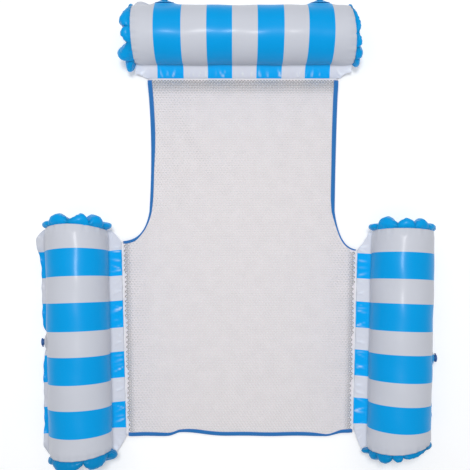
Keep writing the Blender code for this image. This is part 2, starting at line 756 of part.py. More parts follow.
LEFT_ARM = Tube(
    "left_arm", LEFT_ARM_LENGTH, ARM_FLANGE_REACH, ARM_WELD_DROP,
    cuts=(ARM_REAR_CUT, ARM_FRONT_CUT), ends=("rear", "front"),
    valves=[("left_arm", 0.0, LEFT_VALVE_RISE)],
)
RIGHT_ARM = Tube(
    "right_arm", RIGHT_ARM_LENGTH, ARM_FLANGE_REACH, ARM_WELD_DROP,
    cuts=(ARM_FRONT_CUT, ARM_REAR_CUT), ends=("front", "rear"),
    valves=[("right_arm", -RIGHT_VALVE_SHIFT, RIGHT_VALVE_RISE)],
)
HEADREST = Tube(
    "headrest", HEADREST_LENGTH, HEAD_FLANGE_REACH, HEAD_WELD_DROP,
    cuts=(HEAD_CUT, HEAD_CUT), ends=("right", "left"),
    valves=[
        ("headrest_right", -HEAD_VALVE_SPACING / 2, HEAD_VALVE_RISE),
        ("headrest_left", HEAD_VALVE_SPACING / 2, HEAD_VALVE_RISE),
    ],
)

chair = frame_empty("chair", None, Matrix())
build_seat(chair)
for arm, arm_side, arm_setback, heading in (
    (LEFT_ARM, -1, LEFT_ARM_SETBACK, 180.0 + ARM_TOE_IN),
    (RIGHT_ARM, 1, RIGHT_ARM_SETBACK, -ARM_TOE_IN),
):
    middle = hinge_point(arm_side, arm_setback, 0.0)
    hinge_matrix = Matrix.Translation((middle.x, middle.y, NET_HEIGHT))
    hinge_matrix @= Matrix.Rotation(math.radians(heading), 4, "Z")
    arm.build(frame_empty(f"{arm.name}_fold", chair, hinge_matrix))
back_frame = frame_empty("back_fold", chair, Matrix.Translation((0, 0, NET_HEIGHT)))
build_back(back_frame)
head_matrix = Matrix.Translation((BACK_SIDE_SHIFT, BACK_LENGTH, 0))
head_matrix @= Matrix.Rotation(math.radians(90), 4, "Z")
head_frame = frame_empty("headrest_fold", back_frame, head_matrix)
HEADREST.build(head_frame)
build_divider(head_frame, HEADREST)
centre_on_ground(chair)
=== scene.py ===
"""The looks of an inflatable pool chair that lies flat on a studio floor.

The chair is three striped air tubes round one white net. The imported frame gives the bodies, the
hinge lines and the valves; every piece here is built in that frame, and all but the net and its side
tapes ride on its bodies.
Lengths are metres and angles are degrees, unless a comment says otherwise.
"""
import json
import logging
import math
from collections.abc import Sequence
from dataclasses import dataclass, field
from enum import Enum

import bpy
import numpy as np
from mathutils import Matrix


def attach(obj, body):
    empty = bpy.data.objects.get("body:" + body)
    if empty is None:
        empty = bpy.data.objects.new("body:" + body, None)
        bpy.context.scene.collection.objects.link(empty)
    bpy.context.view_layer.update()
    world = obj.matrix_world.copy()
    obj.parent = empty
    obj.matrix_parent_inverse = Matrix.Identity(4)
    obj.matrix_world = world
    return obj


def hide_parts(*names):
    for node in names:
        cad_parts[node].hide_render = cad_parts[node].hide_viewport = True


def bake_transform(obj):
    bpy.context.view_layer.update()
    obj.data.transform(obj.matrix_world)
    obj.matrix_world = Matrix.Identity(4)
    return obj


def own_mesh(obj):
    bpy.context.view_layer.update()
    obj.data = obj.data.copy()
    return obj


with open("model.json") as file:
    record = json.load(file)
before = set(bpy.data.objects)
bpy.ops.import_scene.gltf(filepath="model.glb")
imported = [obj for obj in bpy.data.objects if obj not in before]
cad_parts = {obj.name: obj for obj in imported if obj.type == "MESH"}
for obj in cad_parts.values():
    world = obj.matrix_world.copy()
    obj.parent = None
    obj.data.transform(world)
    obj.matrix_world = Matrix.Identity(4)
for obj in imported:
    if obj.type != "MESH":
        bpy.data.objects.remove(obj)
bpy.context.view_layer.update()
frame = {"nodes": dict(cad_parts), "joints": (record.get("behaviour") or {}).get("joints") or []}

LOG = logging.getLogger("pool_chair")

FILM = 0.0005
FILM_GAP = 0.0003
TUBE_RADIUS = 0.078
TUBE_HEIGHT = 0.0775
HEM_RADIUS = 0.003
FLOOR_GAP = 0.00035  # from the floor to the lowest film
TAPE_GAP = 0.0003  # from the floor to the lowest tape
FULL_TURN = 2 * math.pi

Colour = tuple[float, float, float, float]
Fields = dict[str, np.ndarray]


def joint_named(name: str) -> dict:
    """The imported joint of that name."""
    return next(joint for joint in frame["joints"] if joint["name"] == name)


def smooth(value: np.ndarray | float) -> np.ndarray | float:
    """A smooth step from 0 to 1, for values already between them or beyond."""
    held = np.clip(value, 0.0, 1.0)
    return held * held * (3.0 - 2.0 * held)


def ridge(value: np.ndarray, centre: float, width: float) -> np.ndarray:
    """A bell of height 1 round a centre; width is where it has fallen to about a third."""
    return np.exp(-(((value - centre) / width) ** 2))


def polar(radius: np.ndarray | float, degrees: np.ndarray | float) -> np.ndarray:
    """Points across a tube, from its axis: x away from the net, z up."""
    angle = np.radians(degrees)
    return np.stack(np.broadcast_arrays(radius * np.cos(angle), radius * np.sin(angle)), axis=-1)


def loop_area(loop: np.ndarray) -> float:
    """The area inside a closed loop of points (x, y)."""
    x, y = loop[:, 0], loop[:, 1]
    return 0.5 * abs(float(x @ np.roll(y, -1) - y @ np.roll(x, -1)))


def quadratic(start: np.ndarray, handle: np.ndarray, end: np.ndarray, steps: int) -> np.ndarray:
    """Points of a quadratic curve.

    Args:
        start: The first point.
        handle: The point that pulls the curve.
        end: The last point.
        steps: How many runs the curve is cut into.

    Returns:
        The points, both ends included.
    """
    t = np.linspace(0.0, 1.0, steps + 1)[:, None]
    return start * (1 - t) ** 2 + handle * 2 * t * (1 - t) + end * t**2


def smooth_curves(knots: np.ndarray, count: int) -> tuple[np.ndarray, np.ndarray]:
    """Smooth curves through knots, all curves at once.

    Args:
        knots: The places that each curve goes through, first index along the curves.
        count: How many points each curve gets.

    Returns:
        The points, without the last knot, and how many knots into its curve each lies.
    """
    padded = np.concatenate((knots[:1], knots, knots[-1:]))
    depth = np.linspace(0.0, len(knots) - 1, count + 1)[:-1]
    rows = []
    for step in depth:
        i, t = int(step), step - int(step)
        a, b, c, d = padded[i:i + 4]
        rows.append(b + 0.5 * t * (c - a + t * (2 * a - 5 * b + 4 * c - d + t * (3 * (b - c) + d - a))))
    return np.stack(rows), depth


@dataclass(frozen=True)
class Axes:
    """An origin and three directions in the shared frame."""

    origin: np.ndarray
    x: np.ndarray
    y: np.ndarray
    z: np.ndarray

    @classmethod
    def on_hinge(cls, joint: str) -> "Axes":
        """The frame of a tube on its hinge line.

        Args:
            joint: The hinge's name.

        Returns:
            The frame: x away from the net, y along the tube, z up.
        """
        found = joint_named(joint)
        y = -np.array(found["axis"], float)
        z = np.array((0.0, 0.0, 1.0))
        return cls(np.array(found["pos_m"], float), np.cross(y, z), y, z)

    def place(self, points: np.ndarray) -> np.ndarray:
        """Points of this frame in the shared one."""
        turn = np.stack((self.x, self.y, self.z))
        return self.origin + np.asarray(points, float) @ turn


def grid_faces(rows: int, columns: int, ring: bool = False, flip: bool = False) -> list[tuple]:
    """The quads of a grid of points held row by row.

    Args:
        rows: How many rows of points.
        columns: How many points in a row.
        ring: Whether each row closes on itself.
        flip: Whether the faces look the other way.

    Returns:
        The faces, as tuples of point numbers.
    """
    faces = []
    for i in range(rows - 1):
        for j in range(columns if ring else columns - 1):
            k = (j + 1) % columns
            face = (i * columns + j, i * columns + k, (i + 1) * columns + k, (i + 1) * columns + j)
            faces.append(face[::-1] if flip else face)
    return faces


def make_piece(
    name: str,
    points: np.ndarray,
    faces: list[tuple],
    material: bpy.types.Material,
    fields: Fields | None = None,
) -> bpy.types.Object:
    """Makes a smooth mesh object in the shared frame.

    Args:
        name: The piece's name.
        points: Its points.
        faces: Its faces, as tuples of point numbers.
        material: Its finish.
        fields: Named values at the points, which the finish reads.

    Returns:
        The object, linked to the scene.
    """
    mesh = bpy.data.meshes.new(name)
    mesh.from_pydata([tuple(point) for point in points.reshape(-1, 3)], [], faces)
    for label, values in (fields or {}).items():
        attribute = mesh.attributes.new(label, "FLOAT", "POINT")
        attribute.data.foreach_set("value", np.asarray(values, np.float32).ravel())
    mesh.shade_smooth()
    mesh.materials.append(material)
    mesh.update()
    made = bpy.data.objects.new(name, mesh)
    bpy.context.scene.collection.objects.link(made)
    return made


def thicken(piece: bpy.types.Object, thickness: float) -> None:
    """Gives an open surface its thickness, half to each side.

    Args:
        piece: The open surface.
        thickness: How thick it gets.
    """
    step = piece.modifiers.new("thickness", "SOLIDIFY")
    step.thickness = thickness
    step.offset = 0.0


class Graph:
    """Adds and wires the nodes of one material or node group."""

    def __init__(self, tree: bpy.types.NodeTree) -> None:
        """Takes the node tree to work in."""
        self.tree = tree

    def add(self, kind: str, **settings: object) -> bpy.types.Node:
        """A new node.

        Args:
            kind: The node's type.
            settings: Its properties.

        Returns:
            The node.
        """
        node = self.tree.nodes.new(kind)
        for key, value in settings.items():
            setattr(node, key, value)
        return node

    def feed(self, socket: bpy.types.NodeSocket, value: object) -> None:
        """Links a socket to another, or sets it to a constant.

        Args:
            socket: The input.
            value: The output that it takes its value from, or a constant.
        """
        if isinstance(value, bpy.types.NodeSocket):
            self.tree.links.new(value, socket)
        else:
            socket.default_value = value

    def fill(self, node: bpy.types.Node, inputs: dict) -> None:
        """Feeds some of a node's inputs, which are given by name or number."""
        for key, value in inputs.items():
            self.feed(node.inputs[key], value)

    def result(
        self, kind: str, output: str | int, inputs: dict, **settings: object
    ) -> bpy.types.NodeSocket:
        """An output of a new node.

        Args:
            kind: The node's type.
            output: The output's name or number.
            inputs: Numbers or sockets, by the input's name or number.
            settings: The node's properties.

        Returns:
            The output.
        """
        node = self.add(kind, **settings)
        self.fill(node, inputs)
        return node.outputs[output]

    def math(self, operation: str, *values: object, clamp: bool = False) -> bpy.types.NodeSocket:
        """The result of a Math node on numbers or sockets."""
        inputs = dict(enumerate(values))
        return self.result("ShaderNodeMath", "Value", inputs, operation=operation, use_clamp=clamp)

    def scaled(self, value: object, factor: float, start: float) -> bpy.types.NodeSocket:
        """A value times a factor, added to a start."""
        return self.math("MULTIPLY_ADD", value, factor, start)

    def mix(self, factor: object, first: object, second: object) -> bpy.types.NodeSocket:
        """A colour between two others."""
        return self.result("ShaderNodeMix", 2, {0: factor, 6: first, 7: second}, data_type="RGBA")

    def field(self, name: str) -> bpy.types.NodeSocket:
        """A named value that the mesh holds at its points."""
        return self.add("ShaderNodeAttribute", attribute_name=name).outputs["Fac"]

    def place(self) -> bpy.types.NodeSocket:
        """The place on the object."""
        return self.add("ShaderNodeTexCoord").outputs["Object"]

    def vector(self, x: object, y: object) -> bpy.types.NodeSocket:
        """A flat vector from two numbers or sockets."""
        return self.result("ShaderNodeCombineXYZ", "Vector", {"X": x, "Y": y})

    def noise(self, vector: object, scale: float, detail: float = 2.0) -> bpy.types.NodeSocket:
        """Soft noise between 0 and 1."""
        inputs = {"Vector": vector, "Scale": scale, "Detail": detail}
        return self.result("ShaderNodeTexNoise", "Fac", inputs)

    def group(self, tree: bpy.types.NodeTree, **values: object) -> bpy.types.Node:
        """A node group with its inputs fed.

        Args:
            tree: The group.
            values: Numbers or sockets, by the input's name.

        Returns:
            The group's node.
        """
        node = self.add("ShaderNodeGroup", node_tree=tree)
        self.fill(node, values)
        return node

    def bump(self, height: object, strength: float, distance: float) -> bpy.types.NodeSocket:
        """A normal from a height in shares of a distance."""
        inputs = {"Height": height, "Strength": strength, "Distance": distance}
        return self.result("ShaderNodeBump", "Normal", inputs)

    def toned(self, colour: object, tone: object) -> bpy.types.NodeSocket:
        """A colour made lighter or darker by a number."""
        inputs = {"Vector": colour[:3] if isinstance(colour, tuple) else colour, "Scale": tone}
        return self.result("ShaderNodeVectorMath", "Vector", inputs, operation="SCALE")


def new_group(name: str, inputs: Sequence[str], outputs: Sequence[str]) -> tuple:
    """A node group with plain number sockets.

    Args:
        name: The group's name.
        inputs: The names of its inputs.
        outputs: The names of its outputs.

    Returns:
        The group, a graph to fill it with, its input node and its output node.
    """
    tree = bpy.data.node_groups.new(name, "ShaderNodeTree")
    for label in inputs:
        tree.interface.new_socket(label, in_out="INPUT", socket_type="NodeSocketFloat")
    for label in outputs:
        tree.interface.new_socket(label, in_out="OUTPUT", socket_type="NodeSocketFloat")
    graph = Graph(tree)
    return tree, graph, graph.add("NodeGroupInput"), graph.add("NodeGroupOutput")


def film_grain_group() -> bpy.types.NodeTree:
    """Film's cloudy print, fine calendered grain and soft creases.

    Returns:
        The group.
    """
    cloud_scale, grain_scale, grain_height = 14.0, 900.0, 0.012
    streaks_along, streaks_across = 95.0, 26.0
    tree, graph, given, result = new_group(
        "film grain", ("Along", "Across", "Crease"), ("Tone", "Roughness", "Height")
    )
    along, across = given.outputs["Along"], given.outputs["Across"]
    place = graph.vector(along, across)
    cloud = graph.noise(place, cloud_scale, 3.0)
    grain = graph.noise(place, grain_scale)
    streak_place = graph.vector(
        graph.math("MULTIPLY", along, streaks_along), graph.math("MULTIPLY", across, streaks_across)
    )
    crease = graph.math("MULTIPLY", graph.noise(streak_place, 1.0, 3.0), given.outputs["Crease"])
    graph.fill(result, {
        "Tone": graph.scaled(cloud, 0.06, 0.97),
        "Roughness": graph.scaled(cloud, 0.10, 0.27),
        "Height": graph.math("ADD", crease, graph.math("MULTIPLY", grain, grain_height)),
    })
    return tree


def bands_group(count: int) -> bpy.types.NodeTree:
    """Printed bands: 1 between the first and second edge, the third and fourth, and so on.

    Args:
        count: How many edges there are.

    Returns:
        The group.
    """
    labels = [f"Edge {i + 1}" for i in range(count)]
    tree, graph, given, result = new_group("printed bands", ("Along", "Blur", *labels), ("Band",))
    band: object = 0.0
    for i, label in enumerate(labels):
        past = graph.math("SUBTRACT", given.outputs["Along"], given.outputs[label])
        share = graph.math("DIVIDE", past, given.outputs["Blur"])
        step = graph.math("ADD", share, 0.5, clamp=True)
        band = graph.math("SUBTRACT" if i % 2 else "ADD", band, step)
    graph.feed(result.inputs["Band"], band)
    return tree


def weave_group() -> bpy.types.NodeTree:
    """A plain weave, from places along and across a cloth.

    Returns:
        The group.
    """
    tree, graph, given, result = new_group(
        "plain weave", ("Along", "Across", "Pitch"), ("Height", "Tone")
    )
    warp = graph.math("DIVIDE", given.outputs["Along"], given.outputs["Pitch"])
    weft = graph.math("DIVIDE", given.outputs["Across"], given.outputs["Pitch"])
    over, under = (
        graph.math("SINE", graph.math("MULTIPLY", graph.math(operation, warp, weft), FULL_TURN))
        for operation in ("ADD", "SUBTRACT")
    )
    height = graph.scaled(graph.math("MULTIPLY", over, under), 0.5, 0.5)
    # The weave's tone is painted shade: it is darker where the threads lie low.
    graph.fill(result, {"Height": height, "Tone": graph.scaled(height, 0.22, 0.86)})
    return tree


def new_material(name: str) -> tuple[bpy.types.Material, Graph, bpy.types.Node]:
    """An empty material.

    Args:
        name: Its name.

    Returns:
        The material, its graph and its shader.
    """
    made = bpy.data.materials.new(name)
    made.use_nodes = True
    return made, Graph(made.node_tree), made.node_tree.nodes["Principled BSDF"]


@dataclass(frozen=True)
class FilmFinish:
    """Glossy vinyl film, plain or printed with bands."""

    name: str
    ground: Colour
    print_colour: Colour | None = None
    band_edges: tuple[float, ...] = ()
    blur: float = 0.0005
    gloss: float = 0.11
    coat: float = 0.06
    coat_roughness: float = 0.14
    glint: Colour = (0.80, 0.86, 0.95, 1.0)
    crease_strength: float = 0.9
    crease_height: float = 0.0012

    def build(self, groups: "Groups") -> bpy.types.Material:
        """Makes the material.

        Args:
            groups: The shared node groups.

        Returns:
            The material.
        """
        made, graph, shader = new_material(self.name)
        along, across = graph.field("along"), graph.field("across")
        grain = graph.group(groups.grain, Along=along, Across=across, Crease=graph.field("crease"))
        colour: object = self.ground
        if self.print_colour:
            bands = graph.group(groups.bands, Along=along, Blur=self.blur)
            graph.fill(bands, {f"Edge {i + 1}": edge for i, edge in enumerate(self.band_edges)})
            colour = graph.mix(bands.outputs["Band"], self.ground, self.print_colour)
        colour = graph.mix(graph.field("glint"), colour, self.glint)
        shade = graph.math("MULTIPLY", grain.outputs["Tone"], graph.field("shade"))
        graph.fill(shader, {
            "Base Color": graph.toned(colour, shade),
            "Roughness": grain.outputs["Roughness"],
            "Specular IOR Level": self.gloss,
            "Coat Weight": self.coat,
            "Coat Roughness": self.coat_roughness,
            "Normal": graph.bump(grain.outputs["Height"], self.crease_strength, self.crease_height),
        })
        return made


@dataclass(frozen=True)
class ClothFinish:
    """Woven or knitted polyester."""

    name: str
    colour: Colour
    pitch: float
    depth: float
    roughness: float
    sheen: float
    stitch_row: float = 0.0  # how far a row of stitches runs from the middle, or 0 for none
    thread: Colour = (0.06, 0.27, 0.62, 1.0)
    thread_width: float = 0.0005
    stitch_pitch: float = 0.0034
    stitch_share: float = 0.62
    cloud_scale: float = 30.0
    sheen_roughness: float = 0.5
    weave_strength: float = 0.8

    def stitches(self, graph: Graph, along: object, across: object) -> bpy.types.NodeSocket:
        """Where the stitches of the two rows lie.

        Args:
            graph: The material's graph.
            along: The place along the cloth.
            across: The place across it.

        Returns:
            A mask, 1 on a stitch.
        """
        aside = graph.math("ABSOLUTE", across)
        off = graph.math("ABSOLUTE", graph.math("SUBTRACT", aside, self.stitch_row))
        row = graph.math("LESS_THAN", off, self.thread_width)
        beat = graph.math("FRACT", graph.math("DIVIDE", along, self.stitch_pitch))
        return graph.math("MULTIPLY", row, graph.math("LESS_THAN", beat, self.stitch_share))

    def build(self, groups: "Groups") -> bpy.types.Material:
        """Makes the material.

        Args:
            groups: The shared node groups.

        Returns:
            The material.
        """
        made, graph, shader = new_material(self.name)
        along, across = graph.field("along"), graph.field("across")
        weave = graph.group(groups.weave, Along=along, Across=across, Pitch=self.pitch)
        cloud = graph.noise(graph.vector(along, across), self.cloud_scale, 3.0)
        tone = graph.math("MULTIPLY", weave.outputs["Tone"], graph.scaled(cloud, 0.12, 1.0))
        # Painted shade: the net's threads darken round its holes.
        tone = graph.math("MULTIPLY", tone, graph.math("SUBTRACT", 1.0, graph.field("hole_shade")))
        colour: object = self.colour
        height = weave.outputs["Height"]
        if self.stitch_row:
            sewn = self.stitches(graph, along, across)
            colour = graph.mix(sewn, self.colour, self.thread)
            height = graph.math("ADD", height, sewn)
        graph.fill(shader, {
            "Base Color": graph.toned(colour, tone),
            "Roughness": graph.scaled(cloud, 0.1, self.roughness),
            "Sheen Weight": self.sheen,
            "Sheen Roughness": self.sheen_roughness,
            "Normal": graph.bump(height, self.weave_strength, self.depth),
        })
        return made


@dataclass(frozen=True)
class MouldedFinish:
    """Soft moulded vinyl, as the valves are made of."""

    name: str
    colour: Colour
    roughness: float
    cloud_scale: float = 90.0
    grain_scale: float = 420.0
    grain_strength: float = 0.25
    grain_height: float = 0.0003

    def build(self) -> bpy.types.Material:
        """Makes the material.

        Returns:
            The material.
        """
        made, graph, shader = new_material(self.name)
        place = graph.place()
        cloud = graph.noise(place, self.cloud_scale, 3.0)
        grain = graph.noise(place, self.grain_scale)
        graph.fill(shader, {
            "Base Color": graph.toned(self.colour, graph.scaled(cloud, 0.2, 0.9)),
            "Roughness": graph.scaled(cloud, 0.15, self.roughness),
            "Normal": graph.bump(grain, self.grain_strength, self.grain_height),
        })
        return made


@dataclass(frozen=True)
class Groups:
    """The node groups that several materials share."""

    grain: bpy.types.NodeTree
    bands: bpy.types.NodeTree
    weave: bpy.types.NodeTree

    @classmethod
    def build(cls, band_edges: int) -> "Groups":
        """Makes each group once."""
        return cls(film_grain_group(), bands_group(band_edges), weave_group())


@dataclass(frozen=True)
class Palette:
    """Every finish of the chair."""

    bands: dict[str, bpy.types.Material]
    blue_film: bpy.types.Material
    net: bpy.types.Material
    hem: bpy.types.Material
    tape: bpy.types.Material
    valve: bpy.types.Material


class Side(Enum):
    """The two films of a tube."""

    UPPER = 1
    LOWER = -1


@dataclass(frozen=True)
class Bulge:
    """A place where a tube's outer seam wanders off its line, or its fin grows wider."""

    centre: float
    width: float
    lift: float  # degrees
    growth: float = 0.0


@dataclass(frozen=True)
class Lobe:
    """One lobe of a gathered end panel, from the valley where it starts to the next lobe's."""

    start: float  # degrees round the tube, 0 away from the net and 90 on top
    height: float
    lean: float = 1.0  # above 1 the lobe peaks late, below 1 early
    girth: float = 0.0  # how much further it swells outwards


@dataclass(frozen=True)
class GatheredEnd:
    """One gathered end panel: its word, its side along the tube, its seam and its lobes."""

    word: str
    sign: int
    cut: float  # length of the flange's slanted corner there
    lobes: tuple[Lobe, ...]
    tip: float = 0.1  # share of the flange's width that is left at the very end
    saddle: float = 0.008  # how far the seam draws back on both sides
    tilt: float = 0.0  # how much further it reaches on the net's side
    stretch: float = 0.0  # how much further it reaches all round
    low: float = 0.013  # height of the valleys
    curve: float = 0.9  # above 1 the flange's corner is hollow, below 1 it is full
    fin_taper: float = 0.022  # length over which the outer fin runs out
    overrun: float = 0.0  # how much further the flange's edge reaches along the tube
    tone: float = 1.0  # how light the panel is; below 1 it is painted shade

    def seam_shift(self, out_x: np.ndarray) -> np.ndarray:
        """How far the seam draws back, by the share of the way out from the tube's middle."""
        return self.saddle * out_x**2 + self.tilt * out_x - self.stretch

    def film_shift(self, along: float, half: float, out_x: np.ndarray, flange: np.ndarray) -> np.ndarray:
        """How far the film draws back along the tube, to meet the seam at its end.

        Args:
            along: The place along the tube.
            half: Half of the tube's length.
            out_x: The share of the way out from the tube's middle, at each point.
            flange: The share of the flange's width there, or 0 on the tube.

        Returns:
            How much to take off the place along the tube, at each point.
        """
        reached, towards = abs(along) / half, np.sign(along)
        back = self.saddle * out_x**2 * reached**4
        back = back + (self.tilt * out_x - self.stretch) * reached**9
        back = back * towards * (1 - 0.5 * flange)
        return back - towards * self.overrun * flange * reached**9


@dataclass(frozen=True)
class Mound:
    """A place where a valve's base holds the film smooth, and out where it has to reach it."""

    along: float
    angle: float  # degrees above level
    held_out: float = 0.0
    width: float = 0.030


@dataclass(frozen=True)
class Streak:
    """A crease across a tube's flange."""

    place: float
    slant: float
    width: float
    height: float


LOBE_SHAPE = (  # share of the radius in a valley and what a lobe adds to it, from the seam inwards
    (0.965, 0.060), (0.88, 0.10), (0.66, 0.05), (0.40, 0.0),
)
WRINKLE_COUNTS = (13, 21, 34, 47)  # how many fine wrinkles go round an end panel


@dataclass
class AirTube:
    """One inflated tube: two printed films, two gathered end panels and the weld round them."""

    name: str
    joint: str
    body: str
    length: float
    reach: float  # from the hinge line out to the tube's axis
    weld_drop: float  # degrees below mid-height at which the flange leaves the tube
    ends: tuple[GatheredEnd, GatheredEnd]
    bulges: tuple[Bulge, ...]
    mounds: tuple[Mound, ...]
    seed: int
    radius: float = TUBE_RADIUS
    fin_drop: float = 25.0  # degrees below mid-height at which the outer fin leaves the tube
    fin_width: float = 0.015
    fin_waves: tuple[float, float] = (0.0022, 0.0013)  # heights of its short and long waves
    standoff: float = 0.003  # from the tube's round form to where its two films meet
    weld_bend: float = 5.0  # degrees before a weld at which a film leaves the round form
    neck_length: float = 0.020
    neck_share: float = 0.965  # share of the radius that is left at the end seams
    knee_share: float = 0.22  # share of the flange's width where its film starts to bend
    flange_spread: float = 0.015  # how much the bands widen over the flange
    # flange_light is painted light that lightens the flange; the crease values paint shade on the tube
    # beside its weld
    flange_light: float = 0.30
    crease_shade: float = 0.12
    crease_width: float = 15.0  # degrees
    swells: tuple[float, float] = (0.0006, 0.0004)  # heights of the film's slow waves
    pucker: float = 0.0007
    end_zone: float = 0.035  # length over which the film puckers towards its end seams
    streak_count: int = 34
    streak_height: float = 1.0  # a factor on the creases' heights
    streak_jitter: float = 0.006
    streak_widths: tuple[float, float] = (0.0014, 0.0034)
    streak_rises: tuple[float, float] = (0.0010, 0.0032)
    streak_slant: float = 0.35  # the largest slant to either side
    streak_lean: float = 0.045  # how far a slant of 1 leans over the flange's whole width
    end_slant: float = 0.5  # how much more the creases slant at the tube's ends
    end_growth: float = 0.4  # how much wider and higher they are there
    full_streak: float = 0.0028  # a crease this high glints fully
    glint: float = 0.46
    fine_creases: tuple[float, float, float] = (0.15, 0.85, 0.5)  # all over, on the flange, at ends
    wrinkle: float = 0.0006  # height of the end panels' fine wrinkles
    # how much painted shade darkens the valleys between an end panel's lobes
    valley_shade: float = 0.30
    end_crowding: float = 0.35  # how much closer the stations are at the ends
    station_count: int = 170
    arc_count: int = 84
    flange_count: int = 22
    fin_count: int = 7
    panel_count: int = 360
    ring_count: int = 26
    axes: Axes = field(init=False)
    height: float = field(init=False)
    centre: np.ndarray = field(init=False)

    def __post_init__(self) -> None:
        """Finds the tube's hinge line and its axis."""
        self.axes = Axes.on_hinge(self.joint)
        self.height = TUBE_HEIGHT - TUBE_RADIUS + self.radius
        self.centre = np.array((self.reach, 0.0, self.height - self.axes.origin[2]))

    def end_at(self, sign: float) -> GatheredEnd:
        """The end panel on that side along the tube."""
        return next(end for end in self.ends if end.sign == (1 if sign > 0 else -1))

    def to_end(self, along: float) -> float:
        """How far a place along the tube lies from the nearer end."""
        return self.length / 2 - abs(along)

    def stations(self) -> np.ndarray:
        """Places along the tube, closer together towards its ends.

        Returns:
            The places, from the tube's middle.
        """
        share = np.linspace(-1.0, 1.0, self.station_count)
        eased = np.sin(share * math.pi / 2) * self.end_crowding + share * (1 - self.end_crowding)
        return eased * self.length / 2

    def radius_at(self, along: float) -> float:
        """The film's radius, which necks in towards the end seams."""
        past = smooth((self.neck_length - self.to_end(along)) / self.neck_length)
        return (self.radius - FILM / 2) * (1 - (1 - self.neck_share) * float(past) ** 1.4)

    def flange_share_at(self, along: float) -> float:
        """How much of the flange's width there is, which its corner cuts take away.

        Args:
            along: The place along the tube.

        Returns:
            The share.
        """
        end = self.end_at(along)
        left = float(np.clip(self.to_end(along) / end.cut, 0, 1))
        return end.tip + (1 - end.tip) * left**end.curve

    def fin_drop_at(self, along: float) -> float:
        """How far below mid-height the outer seam lies, in degrees."""
        lift = sum(b.lift * float(ridge(along, b.centre, b.width)) for b in self.bulges)
        return self.fin_drop - lift

    def fin_width_at(self, along: float) -> float:
        """How far the outer seam's fin reaches from the tube.

        Args:
            along: The place along the tube.

        Returns:
            The width.
        """
        growth = sum(b.growth * float(ridge(along, b.centre, b.width)) for b in self.bulges)
        left = float(np.clip(self.to_end(along) / self.end_at(along).fin_taper, 0, 1))
        narrow = self.standoff * 2.2
        return narrow + (self.fin_width + growth - narrow) * left**0.6

    def mound_at(self, along: float, angle: np.ndarray) -> tuple[np.ndarray, np.ndarray]:
        """What the valves do to the film at a place along the tube.

        Args:
            along: The place.
            angle: Angles round the tube, in radians.

        Returns:
            How far the valves hold the film out at each angle, and how smooth they hold it.
        """
        held, calm = np.zeros(len(angle)), np.zeros(len(angle))
        for mound in self.mounds:
            aside = (angle - math.radians(mound.angle)) * self.radius
            away = ((along - mound.along) ** 2 + aside**2) / mound.width**2
            share = np.minimum(2 * np.exp(-(away**1.5)), 1.0)
            held = held + mound.held_out * share
            calm = np.maximum(calm, smooth(share))
        return held, calm

    def section(self, along: float, side: Side) -> tuple[np.ndarray, np.ndarray, np.ndarray]:
        """Points across one film at a place along the tube.

        Args:
            along: The place, from the tube's middle.
            side: Which film.

        Returns:
            The points across (x, z) from the tube's axis; at each the share of the flange's
            width, or below zero that of the fin's; and the unit direction of the flange's face.
        """
        radius, sign = self.radius_at(along), side.value
        weld_angle = 180.0 + self.weld_drop
        weld = polar(radius + self.standoff, weld_angle)
        hinge = np.array((-self.reach, self.axes.origin[2] - self.height))
        inward = (hinge - weld) / np.linalg.norm(hinge - weld)
        edge = hinge - inward * (HEM_RADIUS + FILM_GAP)
        tip = weld + (edge - weld) * self.flange_share_at(along)
        knee = weld + (tip - weld) * self.knee_share
        face = np.array((inward[1], -inward[0]))
        spread = (FILM + FILM_GAP) / 2 * sign
        first = weld_angle - self.weld_bend * sign
        drop = self.fin_drop_at(along)
        last = -drop + self.weld_bend * sign + (0.0 if side is Side.UPPER else 360.0)
        steps = np.linspace(0.0, 1.0, self.flange_count + 1)[:, None]
        flange = tip + (knee - tip) * steps + face * spread
        bend = quadratic(knee + face * spread, weld + face * spread, polar(radius, first), 6)[1:]
        arc = polar(radius, np.linspace(first, last, self.arc_count))[1:-1]
        root = polar(radius + self.standoff, -drop)
        up = polar(1.0, 90.0 - drop) * spread
        fin_knee = polar(radius + self.standoff * 2, -drop) + up
        turn = quadratic(polar(radius, last), root + up, fin_knee, 4)
        tipped = polar(radius + self.fin_width_at(along), -drop) + up
        fin_steps = np.linspace(0.0, 1.0, self.fin_count + 1)[1:, None]
        fin = fin_knee + (tipped - fin_knee) * fin_steps
        across = np.concatenate((flange, bend, arc, turn, fin))
        share = np.zeros(len(across))
        share[:len(flange)] = 1.0 - steps[:, 0] * (1 - self.knee_share)
        share[len(flange):len(flange) + len(bend)] = np.linspace(self.knee_share, 0, len(bend))
        share[-len(fin):] -= fin_steps[:, 0]
        return across, share, face

    def streaks(self) -> list[Streak]:
        """Creases across the flange, slanted and deeper towards the tube's ends.

        Returns:
            The creases.
        """
        rng = np.random.default_rng(self.seed)
        margin, zone, run = 0.01, 0.07, 0.06
        half = self.length / 2 - margin
        made = []
        for place in np.linspace(-half, half, self.streak_count):
            near_end = float(smooth((abs(place) - half + zone) / run))
            slant = rng.uniform(-self.streak_slant, self.streak_slant)
            growth = 1 + self.end_growth * near_end
            made.append(Streak(
                place + rng.uniform(-self.streak_jitter, self.streak_jitter),
                slant + self.end_slant * near_end * math.copysign(1.0, place),
                rng.uniform(*self.streak_widths) * growth,
                rng.uniform(*self.streak_rises) * growth * self.streak_height,
            ))
        return made

    def streak_heights(self, streaks: list[Streak], along: float, flange: np.ndarray) -> np.ndarray:
        """How high the flange's creases stand at a place along the tube.

        Args:
            streaks: The creases.
            along: The place.
            flange: The share of the flange's width at each point.

        Returns:
            The heights, which run out at both edges of the flange.
        """
        height = np.zeros(len(flange))
        for streak in streaks:
            where = along - streak.place - streak.slant * flange * self.streak_lean
            height += streak.height * ridge(where, 0.0, streak.width)
        full_at = 0.96  # the creases have run out at this share of the flange's width
        held = np.clip(flange / full_at, 0, 1)
        return height * np.sin(held**2.0 * math.pi) ** 0.8

